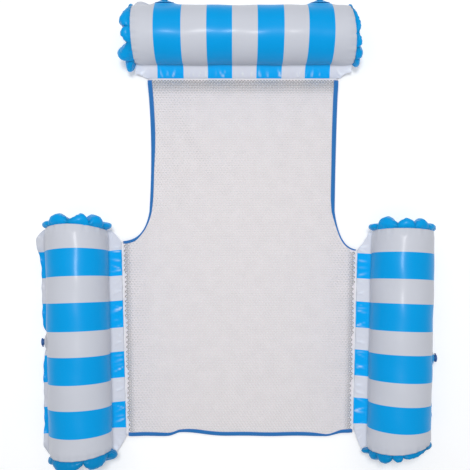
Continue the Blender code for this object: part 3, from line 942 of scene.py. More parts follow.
    def swell_at(
        self, along: float, angle: np.ndarray, near_end: float, phases: np.ndarray
    ) -> np.ndarray:
        """How far the air and the seams push the film off a plain tube.

        Args:
            along: The place along the tube.
            angle: Angles round it, in radians.
            near_end: How near the end seam is, from 0 to 1.
            phases: Where the waves start.

        Returns:
            The push outwards at each angle.
        """
        swell = self.swells[0] * np.sin(along * 31 + angle * 2 + phases[0])
        swell = swell + self.swells[1] * np.sin(along * 67 - angle * 3 + phases[1])
        puckers = np.sin(angle * 17 + phases[2]) + 0.7 * np.sin(angle * 29 + phases[3])
        swell = swell - near_end**2 * self.pucker * puckers
        held_out, calm = self.mound_at(along, angle)
        return swell * (1 - calm) + held_out

    def fin_wave(self, along: float, phases: np.ndarray) -> np.ndarray:
        """How far the fin's edge waves up or down at a place along the tube, as (x, z).

        Args:
            along: The place.
            phases: Where the waves start.

        Returns:
            The shift across the tube.
        """
        short, long = self.fin_waves
        wave = short * math.sin(along * 190 + phases[4]) + long * math.sin(along * 83 + phases[5])
        drop = math.radians(self.fin_drop_at(along))
        return np.array((math.sin(drop), math.cos(drop))) * wave

    def film(self, side: Side) -> tuple[np.ndarray, Fields, int]:
        """One film's points in the shared frame.

        Args:
            side: Which film.

        Returns:
            The points, their named values, and how many there are in a row.
        """
        rng = np.random.default_rng(self.seed + 50)
        phases = rng.uniform(0, FULL_TURN, 6)
        streaks = self.streaks()
        everywhere, on_flange, at_ends = self.fine_creases
        rows = []
        values: dict[str, list] = {"along": [], "across": [], "crease": [], "shade": [], "glint": []}
        for along in map(float, self.stations()):
            across, share, face = self.section(along, side)
            flange, fin = np.clip(share, 0, 1), np.clip(-share, 0, 1)
            near_end = float(smooth((self.end_zone - self.to_end(along)) / self.end_zone))
            angle = np.arctan2(across[:, 1], across[:, 0])
            out = across / np.linalg.norm(across, axis=1)[:, None]
            on_tube = np.clip(1.0 - smooth(flange * 6) - smooth(fin * 4), 0, 1)
            swell = self.swell_at(along, angle, near_end, phases)
            height = self.streak_heights(streaks, along, flange)
            across = across + out * (swell * on_tube)[:, None] + face * height[:, None]
            across = across + self.fin_wave(along, phases) * (fin**1.5)[:, None]
            across[:, 1] = np.maximum(across[:, 1], self.lowest)
            back = self.end_at(along).film_shift(along, self.length / 2, out[:, 0], flange)
            rows.append(np.stack((across[:, 0], along - back, across[:, 1]), axis=1))
            values["along"].append(along / (1 + self.flange_spread * flange))
            steps = np.linalg.norm(np.diff(across, axis=0), axis=1)
            values["across"].append(np.concatenate(((0.0,), np.cumsum(steps))))
            values["crease"].append(everywhere + on_flange * smooth(flange * 3) + at_ends * near_end)
            # Painted shade darkens the tube beside the flange's weld, and painted light lightens the
            # flange.
            from_weld = np.mod(np.degrees(angle) - self.weld_drop, 360.0) - 180.0
            fold = ridge(from_weld, 0.0, self.crease_width) * (flange <= 0)
            light = self.flange_light * smooth(flange * 5.0)
            values["shade"].append(1.0 - self.crease_shade * fold + light)
            crest = np.clip(height / (self.full_streak * self.streak_height), 0.0, 1.0)
            values["glint"].append(self.glint * crest**2)
        points = self.axes.place(np.concatenate(rows) + self.centre)
        return points, {name: np.concatenate(held) for name, held in values.items()}, len(rows[0])

    @property
    def lowest(self) -> float:
        """How high above the tube's axis its film's middle lies where it rests on the floor."""
        return FILM / 2 + FLOOR_GAP - self.height

    def panel_knots(self, end: GatheredEnd, angles: np.ndarray) -> tuple[np.ndarray, np.ndarray]:
        """The places that a gathered end panel's curves go through, from the rim to the middle.

        Args:
            end: Which end.
            angles: The angles round the tube of the curves.

        Returns:
            The radius and height at each place and angle, and how full the lobe is at each angle.
        """
        starts = np.array([lobe.start for lobe in end.lobes])
        widths = np.diff(np.append(starts, starts[0] + 360.0))
        turned = np.mod(angles - starts[0], 360.0) + starts[0]
        which = np.searchsorted(starts, turned, side="right") - 1
        share = (turned - starts[which]) / widths[which]
        lean, tall, girth = (
            np.array([getattr(lobe, name) for lobe in end.lobes])[which]
            for name in ("lean", "height", "girth")
        )
        puff = np.sin(math.pi * share**lean) ** 0.62
        low, even = end.low, np.ones(len(angles))
        full = low + (tall - low) * puff
        radii = [self.radius * (valley + lobe * puff) for valley, lobe in LOBE_SHAPE]
        radii[0] = radii[0] + girth * puff
        radii[1] = radii[1] + girth * puff
        rim = self.panel_rim
        # The panel starts inside the films, turns out over the seam and ends in a hollow middle.
        knots_r = (even * rim, even * (rim + 0.0008), *radii, even * 0)
        knots_h = (
            even * -0.005, even * 0.0005, full * 0.38, full * 0.86,
            full * (0.72 + 0.28 * puff), low + 0.10 * (full - low), even * (low - 0.001),
        )
        return np.stack((np.stack(knots_r), np.stack(knots_h)), axis=-1), puff

    @property
    def panel_rim(self) -> float:
        """The radius of an end panel's rim, which lies just inside the films."""
        return self.radius * self.neck_share - FILM * 2 - 0.0014

    def panel(self, end: GatheredEnd) -> tuple[np.ndarray, Fields, int]:
        """A gathered end panel's points in the shared frame.

        Args:
            end: Which end.

        Returns:
            The points, ring by ring from the rim inwards, their named values, and how many
            points there are in a ring.
        """
        count = self.panel_count
        rng = np.random.default_rng(self.seed + 7 + end.sign)
        angles = np.linspace(0.0, 360.0, count, endpoint=False)
        knots, puff = self.panel_knots(end, angles)
        rows, depth = smooth_curves(knots, self.ring_count)
        wrinkle = sum(
            rng.uniform(0.3, 1.0) * np.sin(np.radians(angles * k) + rng.uniform(0, 6.3))
            for k in WRINKLE_COUNTS
        )
        made = []
        shades = []
        for k, curve in enumerate(rows):
            radial = np.maximum(curve[:, 0], 0.0)
            height = curve[:, 1] + self.wrinkle * wrinkle * smooth(k / 6.0)
            across = polar(radial, angles)
            out = np.cos(np.radians(angles)) * np.minimum(radial / self.panel_rim, 1.0)
            across[:, 1] = np.maximum(across[:, 1], self.lowest)
            along = (self.length / 2 + height - end.seam_shift(out)) * end.sign
            made.append(np.stack((across[:, 0], along, across[:, 1]), axis=1))
            # Painted shade: the valleys between the lobes are darker, and a tone below 1 darkens the
            # whole panel.
            deep = smooth((k - 2) / 3.0) * smooth((20 - k) / 6.0)
            shades.append(end.tone * (1.0 - self.valley_shade * deep * (1 - puff) ** 2))
        top = self.length / 2 + end.low - 0.001 + end.stretch
        middle = np.array([(0.0, top * end.sign, 0.0)])
        points = self.axes.place(np.concatenate((*made, middle)) + self.centre)
        values = {
            "along": np.append(np.repeat(depth, count) * 0.012, 0.07),
            "across": np.append(np.tile(np.radians(angles) * self.radius, len(rows)), 0.0),
            "crease": np.append(np.repeat(np.linspace(1.4, 0.5, len(rows)), count), 0.4),
            "shade": np.append(np.concatenate(shades), 1.0),
        }
        return points, values, count

    def build_film(self, palette: Palette, side: Side) -> bpy.types.Object:
        """Makes one printed film.

        Args:
            palette: The chair's finishes.
            side: Which film.

        Returns:
            The piece.
        """
        points, values, columns = self.film(side)
        faces = grid_faces(len(points) // columns, columns, flip=side is Side.LOWER)
        word = side.name.lower()
        label = f"{self.name}_{word}_film"
        piece = make_piece(label, points, faces, palette.bands[self.name], values)
        thicken(piece, FILM)
        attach(piece, self.body)
        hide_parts(f"{self.name}_{word}_skin")
        return piece

    def build_panel(self, palette: Palette, end: GatheredEnd) -> bpy.types.Object:
        """Makes one gathered end panel.

        Args:
            palette: The chair's finishes.
            end: Which end.

        Returns:
            The piece.
        """
        points, values, columns = self.panel(end)
        rows = len(points) // columns
        faces = grid_faces(rows, columns, ring=True, flip=end.sign < 0)
        last = (rows - 1) * columns
        for j in range(columns):
            face = (last + j, last + (j + 1) % columns, len(points) - 1)
            faces.append(face[::-1] if end.sign < 0 else face)
        label = f"{self.name}_{end.word}_gathered_end"
        piece = make_piece(label, points, faces, palette.blue_film, values)
        thicken(piece, FILM)
        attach(piece, self.body)
        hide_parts(f"{self.name}_{end.word}_end_panel")
        return piece

    def build_divider(self, palette: Palette) -> bpy.types.Object:
        """Makes the film wall that parts the tube in two.

        Args:
            palette: The chair's finishes.

        Returns:
            The piece.
        """
        count, rings, bow = 72, 8, 0.004
        angles = np.linspace(0.0, 360.0, count, endpoint=False)
        rows = []
        for share in np.linspace(1.0, 0.02, rings):
            across = polar((self.radius - FILM * 3) * share, angles)
            along = np.full(count, bow * (1 - share**2))
            rows.append(np.stack((across[:, 0], along, across[:, 1]), axis=1))
        points = self.axes.place(np.concatenate(rows) + self.centre)
        faces = grid_faces(rings, count, ring=True)
        faces.append(tuple((rings - 1) * count + j for j in range(count)))
        even = np.ones(len(points))
        values = {
            "along": points[:, 1], "across": points[:, 2], "crease": even * 0.3, "shade": even,
        }
        piece = make_piece(f"{self.name}_inner_wall", points, faces, palette.blue_film, values)
        thicken(piece, FILM)
        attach(piece, self.body)
        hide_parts(f"{self.name}_divider")
        return piece

    def build(self, palette: Palette) -> list[bpy.types.Object]:
        """Makes the films, the end panels and the wall inside where the tube has one.

        Args:
            palette: The chair's finishes.

        Returns:
            The pieces.
        """
        made = [self.build_film(palette, side) for side in Side]
        made += [self.build_panel(palette, end) for end in self.ends]
        if f"{self.name}_divider" in frame["nodes"]:
            made.append(self.build_divider(palette))
        return made


def outline_distance(points: np.ndarray, outline: np.ndarray) -> tuple[np.ndarray, np.ndarray]:
    """How far points lie inside an outline.

    Args:
        points: The points (x, y).
        outline: The outline's corners in order, as a closed loop.

    Returns:
        The distances, below zero outside, and the outline's nearest point to each point.
    """
    best = np.full(len(points), np.inf)
    nearest = np.zeros_like(points)
    inside = np.zeros(len(points), bool)
    for a, b in zip(outline, np.roll(outline, -1, axis=0)):
        line = b - a
        t = np.clip((points - a) @ line / max(float(line @ line), 1e-12), 0, 1)
        foot = a + t[:, None] * line
        away = np.linalg.norm(points - foot, axis=1)
        closer = away < best
        best[closer], nearest[closer] = away[closer], foot[closer]
        if a[1] != b[1]:
            crosses = (a[1] > points[:, 1]) != (b[1] > points[:, 1])
            at = a[0] + (points[:, 1] - a[1]) * line[0] / line[1]
            inside ^= crosses & (points[:, 0] < at)
    return np.where(inside, best, -best), nearest


def sweep(
    path: np.ndarray, inward: np.ndarray, widths: np.ndarray, heights: np.ndarray, setback: float
) -> tuple[np.ndarray, list[tuple], Fields]:
    """A closed band along a path, with a flattened round section.

    Args:
        path: The path's points.
        inward: The unit direction across the band at each of them.
        widths: The band's width at each of them.
        heights: Its thickness there.
        setback: How far the band reaches outwards of the path.

    Returns:
        The points, the faces and the named values.
    """
    sides, side_power, top_power = 16, 0.55, 0.8
    angles = np.linspace(0.0, FULL_TURN, sides, endpoint=False)
    across = np.sign(np.cos(angles)) * np.abs(np.cos(angles)) ** side_power
    upward = np.sign(np.sin(angles)) * np.abs(np.sin(angles)) ** top_power
    rows, along, over = [], [], []
    travelled = np.concatenate(((0.0,), np.cumsum(np.linalg.norm(np.diff(path, axis=0), axis=1))))
    for point, normal, width, height, gone in zip(path, inward, widths, heights, travelled):
        shift = (width / 2 - setback + across * width / 2)[:, None] * normal
        shift[:, 2] += upward * height / 2
        rows.append(point + shift)
        along.append(np.full(sides, gone))
        over.append(across * width / 2)
    faces = grid_faces(len(rows), sides, ring=True)
    last = (len(rows) - 1) * sides
    faces.append(tuple(range(sides))[::-1])
    faces.append(tuple(last + j for j in range(sides)))
    values = {"along": np.concatenate(along), "across": np.concatenate(over)}
    return np.concatenate(rows), faces, values


@dataclass(frozen=True)
class Pull:
    """A faint straight wrinkle in the net."""

    x: float
    y: float
    turn: float  # degrees from the x axis
    length: float
    width: float
    height: float

    def height_at(self, points: np.ndarray) -> np.ndarray:
        """How far the wrinkle lifts the net.

        Args:
            points: The places (x, y).

        Returns:
            The lift at each.
        """
        angle = math.radians(self.turn)
        offset = points - np.array((self.x, self.y))
        along = offset[:, 0] * math.cos(angle) + offset[:, 1] * math.sin(angle)
        aside = offset[:, 1] * math.cos(angle) - offset[:, 0] * math.sin(angle)
        return self.height * ridge(along, 0.0, self.length) * ridge(aside, 0.0, self.width)


PULLS = (  # down from the headrest's corners, and in from the front corners
    Pull(-0.150, 0.290, -62.0, 0.10, 0.010, 0.0013),
    Pull(-0.115, 0.215, -58.0, 0.09, 0.012, 0.0010),
    Pull(-0.180, 0.200, -66.0, 0.08, 0.010, 0.0010),
    Pull(0.150, 0.300, 64.0, 0.09, 0.012, 0.0009),
    Pull(-0.210, -0.400, 40.0, 0.06, 0.011, 0.0009),
    Pull(0.205, -0.410, -42.0, 0.06, 0.011, 0.0009),
)


@dataclass
class Net:
    """The net that joins the tubes, its white hems and its blue tape."""

    left: AirTube
    right: AirTube
    head: AirTube
    seat_depths: tuple[float, float] = (0.592, 0.583)
    fold_half_widths: tuple[float, float] = (0.2465, 0.247)
    waist_half_widths: tuple[float, float] = (0.236, 0.251)
    head_half_widths: tuple[float, float] = (0.254, 0.2593)
    shoulder_flare: float = 0.012  # how far the shoulder's curve is pulled outwards
    front_dip: float = -0.155  # where the front edge is drawn in most
    front_drawn: float = 0.0095
    front_widths: tuple[float, float] = (0.020, 0.075)  # of that dip to its left and right
    front_step: float = 0.225  # where the edge turns towards its other end's level
    front_run: float = 0.05
    front_wave: float = 0.0006
    wave_pace: float = 46.0
    blend_half: float = 0.035  # the net bends over this length on both sides of the fold
    pitch: float = 0.0086
    row_pitch: float = 0.00635
    hole_share: float = 0.61  # a hole's size as a share of its cell's, where the net is taut
    slack_share: float = 0.40  # the same where it is slack
    taut_hole_shade: float = 0.90  # how much painted shade darkens the threads at a hole's edge where the net is taut
    slack_hole_shade: float = 0.05
    arm_pull: float = 1.8  # the net slackens this much sooner beside the arms
    taut_reach: float = 0.012  # the net is taut up to this far from a hinge line
    slack_run: float = 0.036
    cut_margin: float = 0.74  # share of a row: cells this far outside the edge are kept and cut
    whole_margin: float = 0.95  # share of a row: cells nearer to the edge than this have no hole
    smallest_face: float = 2e-7  # square metres
    thickness: float = 0.0006
    rest_height: float = 0.0019
    lift_reach: float = 0.05  # how far from a hinge line the net comes down to the floor
    arm_arch: float = 0.0050  # how much the net arches up beside an arm
    head_arch: float = 0.0048
    arch_reach: float = 0.014
    hem_width: float = 0.0046
    hem_thickness: float = 0.0044
    hem_ripples: tuple[float, float] = (0.0004, 0.0003)
    tape_width: float = 0.0120
    tape_thickness: float = 0.0024
    rolled_width: float = 0.0038
    rolled_thickness: float = 0.0034
    rolled_back: tuple[float, float] = (0.45, 0.1)  # how rolled the low back's left and right tape is
    rear_flat: float = 0.5  # how flat the left tape lies where it starts at the arm
    tape_inset: float = 0.002  # how far inside the edge a tape's height is taken
    tape_lift: float = 0.0006
    tape_overhang: float = 0.0006
    front_width: float = 0.0100
    front_squeeze: float = 0.8
    front_lift: float = 0.0010
    front_overhang: float = 0.0008
    fold: np.ndarray = field(init=False)

    def __post_init__(self) -> None:
        """Finds the recline fold."""
        self.fold = np.array(joint_named("back_recline")["pos_m"], float)

    def rear_corner(self, arm: AirTube) -> np.ndarray:
        """Where an arm's hinge line ends towards its rear (x, y)."""
        end = next(end for end in arm.ends if end.word == "rear")
        return arm.axes.place((0.0, end.sign * (arm.length / 2 - end.cut), 0.0))[:2]

    def front_corner(self, arm: AirTube) -> np.ndarray:
        """Where an arm's hinge line meets the net's front edge (x, y)."""
        front = self.fold[1] - self.seat_depths[0 if arm is self.left else 1]
        return arm.axes.place((0.0, (front - arm.axes.origin[1]) / arm.axes.y[1], 0.0))[:2]

    def side_path(self, side: int) -> np.ndarray:
        """The net's free edge from an arm's rear corner round the shoulder to the headrest.

        Args:
            side: -1 for the left edge, 1 for the right one.

        Returns:
            The edge's points (x, y).
        """
        which, arm = (0, self.left) if side < 0 else (1, self.right)
        centre, head = self.head.axes.origin[0], self.head.axes.origin[1]
        corner = np.array((centre + side * self.fold_half_widths[which], self.fold[1]))
        rear = self.rear_corner(arm)
        handle = np.array((corner[0] + side * self.shoulder_flare, rear[1]))
        waist = np.array((centre + side * self.waist_half_widths[which], (corner[1] + head) / 2))
        top = np.array((centre + side * self.head_half_widths[which], head))
        shoulder = quadratic(rear, handle, corner, 40)
        return np.concatenate((shoulder, quadratic(corner, waist, top, 90)[1:]))

    def front_path(self) -> np.ndarray:
        """The net's front edge, drawn in a little at two places.

        Returns:
            The edge's points (x, y), from left to right.
        """
        start, end = self.front_corner(self.left), self.front_corner(self.right)
        x = np.linspace(start[0], end[0], 150)
        width = np.where(x < self.front_dip, *self.front_widths)
        drawn = self.front_drawn * ridge(x, self.front_dip, width)
        drawn = drawn + (end[1] - start[1]) * smooth((x - self.front_step) / self.front_run)
        fading = smooth((end[0] - x) / self.front_run)
        wave = self.front_wave * np.sin((x - start[0]) * self.wave_pace) * fading
        return np.column_stack((x, start[1] + drawn + wave))

    def outline(self) -> np.ndarray:
        """The net's whole edge as a closed loop."""
        return np.concatenate((self.front_path(), self.side_path(1), self.side_path(-1)[::-1]))

    def weld_distances(self, points: np.ndarray) -> list[np.ndarray]:
        """How far points lie from each tube's hinge line.

        Args:
            points: The points (x, y).

        Returns:
            The distances from the left arm's, the right arm's and the headrest's line.
        """
        lines = []
        for tube in (self.left, self.right, self.head):
            half = tube.length / 2
            ends = tube.axes.place(((0.0, -half, 0.0), (0.0, half, 0.0)))[:, :2]
            line = ends[1] - ends[0]
            t = np.clip((points - ends[0]) @ line / (line @ line), 0, 1)
            lines.append(np.linalg.norm(points - ends[0] - t[:, None] * line, axis=1))
        return lines

    def slack_at(self, points: np.ndarray) -> np.ndarray:
        """How slack the net lies.

        Args:
            points: The places (x, y).

        Returns:
            The slack at each, from 0 at the hinge lines to 1 further in.
        """
        left, right, head = self.weld_distances(points)
        away = np.minimum(np.minimum(left, right) * self.arm_pull, head)
        return smooth((away - self.taut_reach) / self.slack_run)

    def height_at(self, points: np.ndarray) -> np.ndarray:
        """How high the net lies: on the floor in the middle, and lifted beside the tubes.

        Args:
            points: The places (x, y).

        Returns:
            The height at each.
        """
        lines = self.weld_distances(points)
        lifted = 1 - smooth(np.minimum.reduce(lines) / self.lift_reach)
        height = self.rest_height + (self.fold[2] - self.rest_height) * lifted
        for line, arch in zip(lines, (self.arm_arch, self.arm_arch, self.head_arch)):
            share = np.maximum(line - self.hem_width * 0.8, 0.0) / self.arch_reach
            height = height + arch * share * np.exp(1 - share)
        return height + sum(pull.height_at(points) for pull in PULLS)

    def cell_centres(self, outline: np.ndarray) -> tuple[np.ndarray, np.ndarray]:
        """The middles of the net's cells, in staggered rows.

        Args:
            outline: The net's edge.

        Returns:
            The middles (x, y) and how far each lies inside the edge.
        """
        low, high = outline.min(axis=0) - self.pitch, outline.max(axis=0) + self.pitch
        rows = np.arange(math.ceil((high[1] - low[1]) / self.row_pitch))
        columns = np.arange(math.ceil((high[0] - low[0]) / self.pitch))
        column, row = np.meshgrid(columns, rows)
        centres = np.stack((
            low[0] + (column + (row % 2) / 2).ravel() * self.pitch,
            low[1] + row.ravel() * self.row_pitch,
        ), axis=1)
        inside, _ = outline_distance(centres, outline)
        kept = inside > -self.row_pitch * self.cut_margin
        return centres[kept], inside[kept]

    def cell_ring(self) -> np.ndarray:
        """The six corners of a cell, round its middle.

        Returns:
            The corners (x, y).
        """
        half = self.pitch / 2
        tall = (half**2 + self.row_pitch**2) / (2 * self.row_pitch)
        short = self.row_pitch - tall
        return np.array((
            (half, -short), (half, short), (0, tall), (-half, short), (-half, -short), (0, -tall),
        ))

    def cells(self) -> tuple[np.ndarray, list[tuple], np.ndarray]:
        """The net's mesh: staggered six-sided cells, each with a hole but for those at the edge.

        Returns:
            The points (x, y), the faces and how much painted shade darkens the threads at each
            point round a hole, from 0 to 1.
        """
        outline, ring = self.outline(), self.cell_ring()
        centres, inside = self.cell_centres(outline)
        corners = (centres[:, None, :] + ring).reshape(-1, 2)
        same = self.row_pitch / 50  # corners that fall together at this step are one
        keys = np.round(corners / same).astype(int)
        _, first, number = np.unique(keys, axis=0, return_index=True, return_inverse=True)
        shared = corners[first]
        reach, nearest = outline_distance(shared, outline)
        shared = np.where((reach < 0)[:, None], nearest, shared)
        holes = inside > self.row_pitch * self.whole_margin
        slack = self.slack_at(centres[holes])
        open_share = self.hole_share + (self.slack_share - self.hole_share) * slack
        punched = (centres[holes][:, None, :] + ring * open_share[:, None, None]).reshape(-1, 2)
        points = np.concatenate((shared, punched))
        faces = []
        hole = len(shared)
        for cell, has_hole in zip(number.reshape(-1, 6).tolist(), holes):
            if not has_hole:
                faces.append(tuple(cell))
                continue
            for k in range(6):
                m = (k + 1) % 6
                faces.append((cell[k], cell[m], hole + m, hole + k))
            hole += 6
        faces = [face for face in faces if loop_area(points[list(face)]) > self.smallest_face]
        # Painted shade on the threads round each hole, darker where the net is taut.
        hole_shade = self.slack_hole_shade + (self.taut_hole_shade - self.slack_hole_shade) * (1 - slack)
        return points, faces, np.append(np.zeros(len(shared)), np.repeat(hole_shade, 6))

    def build_cloth(self, palette: Palette) -> bpy.types.Object:
        """Makes the net.

        Args:
            palette: The chair's finishes.

        Returns:
            The piece.
        """
        plan, faces, hole_shade = self.cells()
        points = np.column_stack((plan, self.height_at(plan)))
        values = {"along": plan[:, 1], "across": plan[:, 0], "hole_shade": hole_shade}
        piece = make_piece("net", points, faces, palette.net, values)
        thicken(piece, self.thickness)
        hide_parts("seat_mesh", "back_mesh")
        return piece

    def flatness(self, path: np.ndarray, side: int) -> np.ndarray:
        """How flat the tape on a free side lies, instead of rolled.

        Args:
            path: The free edge.
            side: -1 for the left edge, 1 for the right one.

        Returns:
            The share of flatness at each point.
        """
        rolled = self.rolled_back[0 if side < 0 else 1]
        y, low_run, upper_start, upper_run = path[:, 1], 0.100, 0.150, 0.120
        share = smooth(y / low_run) * (1 - rolled) + smooth((y - upper_start) / upper_run) * rolled
        if side < 0:
            share = share + self.rear_flat * ridge(y, y[0] + 0.004, 0.010)
        return np.clip(share, 0, 1)

    def build_tape(self, palette: Palette, side: int) -> bpy.types.Object:
        """Makes the tape on one free side, flat along the back and rolled round the shoulder.

        Args:
            palette: The chair's finishes.
            side: -1 for the left edge, 1 for the right one.

        Returns:
            The piece.
        """
        path = self.side_path(side)
        run = np.gradient(path, axis=0)
        run /= np.linalg.norm(run, axis=1)[:, None]
        inward = np.stack((-run[:, 1], run[:, 0]), axis=1) * side
        share = self.flatness(path, side)
        widths = self.rolled_width + (self.tape_width - self.rolled_width) * share
        thick = self.rolled_thickness + (self.tape_thickness - self.rolled_thickness) * share
        middle = self.height_at(path + inward * self.tape_inset) + self.tape_lift
        middle = np.maximum(middle, thick / 2 + TAPE_GAP)
        trim = slice(1, -1)
        points, faces, values = sweep(
            np.column_stack((path, middle))[trim], np.column_stack((inward, 0 * middle))[trim],
            widths[trim], thick[trim], self.tape_overhang,
        )
        word = "left" if side < 0 else "right"
        piece = make_piece(f"{word}_edge_tape", points, faces, palette.tape, values)
        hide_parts(f"{word}_shoulder_binding", f"{word}_back_binding")
        return piece

    def build_front_tape(self, palette: Palette) -> bpy.types.Object:
        """Makes the tape on the front edge, narrower at two places.

        Args:
            palette: The chair's finishes.

        Returns:
            The piece.
        """
        path = self.front_path()[1:]
        widths = np.full(len(path), self.front_width)
        for place, share in ((-0.165, 0.3), (0.235, 0.5)):
            widths = widths - self.front_width * share * ridge(path[:, 0], place, 0.03)
        inward = np.tile((0.0, 1.0, 0.0), (len(path), 1))
        middle = self.height_at(path) + self.front_lift
        middle = np.maximum(middle, self.rolled_thickness / 2 + TAPE_GAP)
        thick = np.full(len(path), self.rolled_thickness * self.front_squeeze)
        points, faces, values = sweep(
            np.column_stack((path, middle)), inward, widths, thick, self.front_overhang
        )
        faces = [face[::-1] for face in faces]
        piece = make_piece("front_edge_tape", points, faces, palette.tape, values)
        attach(piece, "seat")
        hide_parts("front_binding")
        return piece

    def build_hem(
        self, palette: Palette, tube: AirTube, start: np.ndarray, end: np.ndarray, body: str
    ) -> bpy.types.Object:
        """Makes the white hem on one hinge line.

        Args:
            palette: The chair's finishes.
            tube: The tube on that hinge line.
            start: The hem's first end (x, y).
            end: Its other end.
            body: The body that it rides on.

        Returns:
            The hem.
        """
        path = start + (end - start) * np.linspace(0.004, 0.996, 90)[:, None]
        path = np.column_stack((path, np.full(len(path), self.fold[2])))
        inward = np.tile(tube.axes.x, (len(path), 1))
        number = np.arange(len(path))
        fast, slow = self.hem_ripples
        widths = self.hem_width + fast * np.sin(number * 0.9) + slow * np.sin(number * 0.37)
        thick = np.full(len(path), self.hem_thickness)
        points, faces, values = sweep(path, inward, widths, thick, self.hem_width / 2)
        piece = make_piece(f"{tube.name}_hem", points, faces, palette.hem, values)
        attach(piece, body)
        return piece

    def build(self, palette: Palette) -> list[bpy.types.Object]:
        """Args:
            palette: The chair's finishes.

        Returns:
            The pieces.
        """
        cloth = self.build_cloth(palette)
        tapes = [self.build_tape(palette, side) for side in (-1, 1)]
        for piece in (cloth, *tapes):
            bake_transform(piece)
        front = self.build_front_tape(palette)
        hems = [
            self.build_hem(palette, arm, self.front_corner(arm), self.rear_corner(arm), "seat")
            for arm in (self.left, self.right)
        ]
        tops = [self.side_path(side)[-1] for side in (-1, 1)]
        hems.append(self.build_hem(palette, self.head, tops[0], tops[1], "back"))
        outline = self.outline()
        edges = [*tapes, front, *hems]
        return [cloth, *edges]


def clipped(run: np.ndarray, longest: float) -> np.ndarray:
    """A run cut to less than half of itself, and no longer than a given length."""
    length = float(np.linalg.norm(run))
    return run / length * min(longest, length * 0.45)


def rounded(profile: Sequence[tuple[float, float]], radius: float) -> list[tuple[float, float]]:
    """A closed profile with its corners rounded off.

    Args:
        profile: The corners (radius, height) in order.
        radius: How far from each corner the rounding starts, where the runs are long enough.

    Returns:
        The new points.
    """
    corners = [np.array(corner, float) for corner in profile]
    made = []
    for before, corner, after in zip(corners[-1:] + corners[:-1], corners, corners[1:] + corners[:1]):
        start, end = (corner + clipped(run, radius) for run in (before - corner, after - corner))
        made += [tuple(point) for point in quadratic(start, corner, end, 3)]
    return made


def joined(*shapes: tuple) -> tuple[np.ndarray, list[tuple]]:
    """Several closed shapes as one.

    Args:
        shapes: Tuples that begin with a shape's points and faces.

    Returns:
        The points and the faces.
    """
    points, faces, first = [], [], 0
    for shape in shapes:
        points.append(shape[0])
        faces += [tuple(first + number for number in face) for face in shape[1]]
        first += len(shape[0])
    return np.concatenate(points), faces


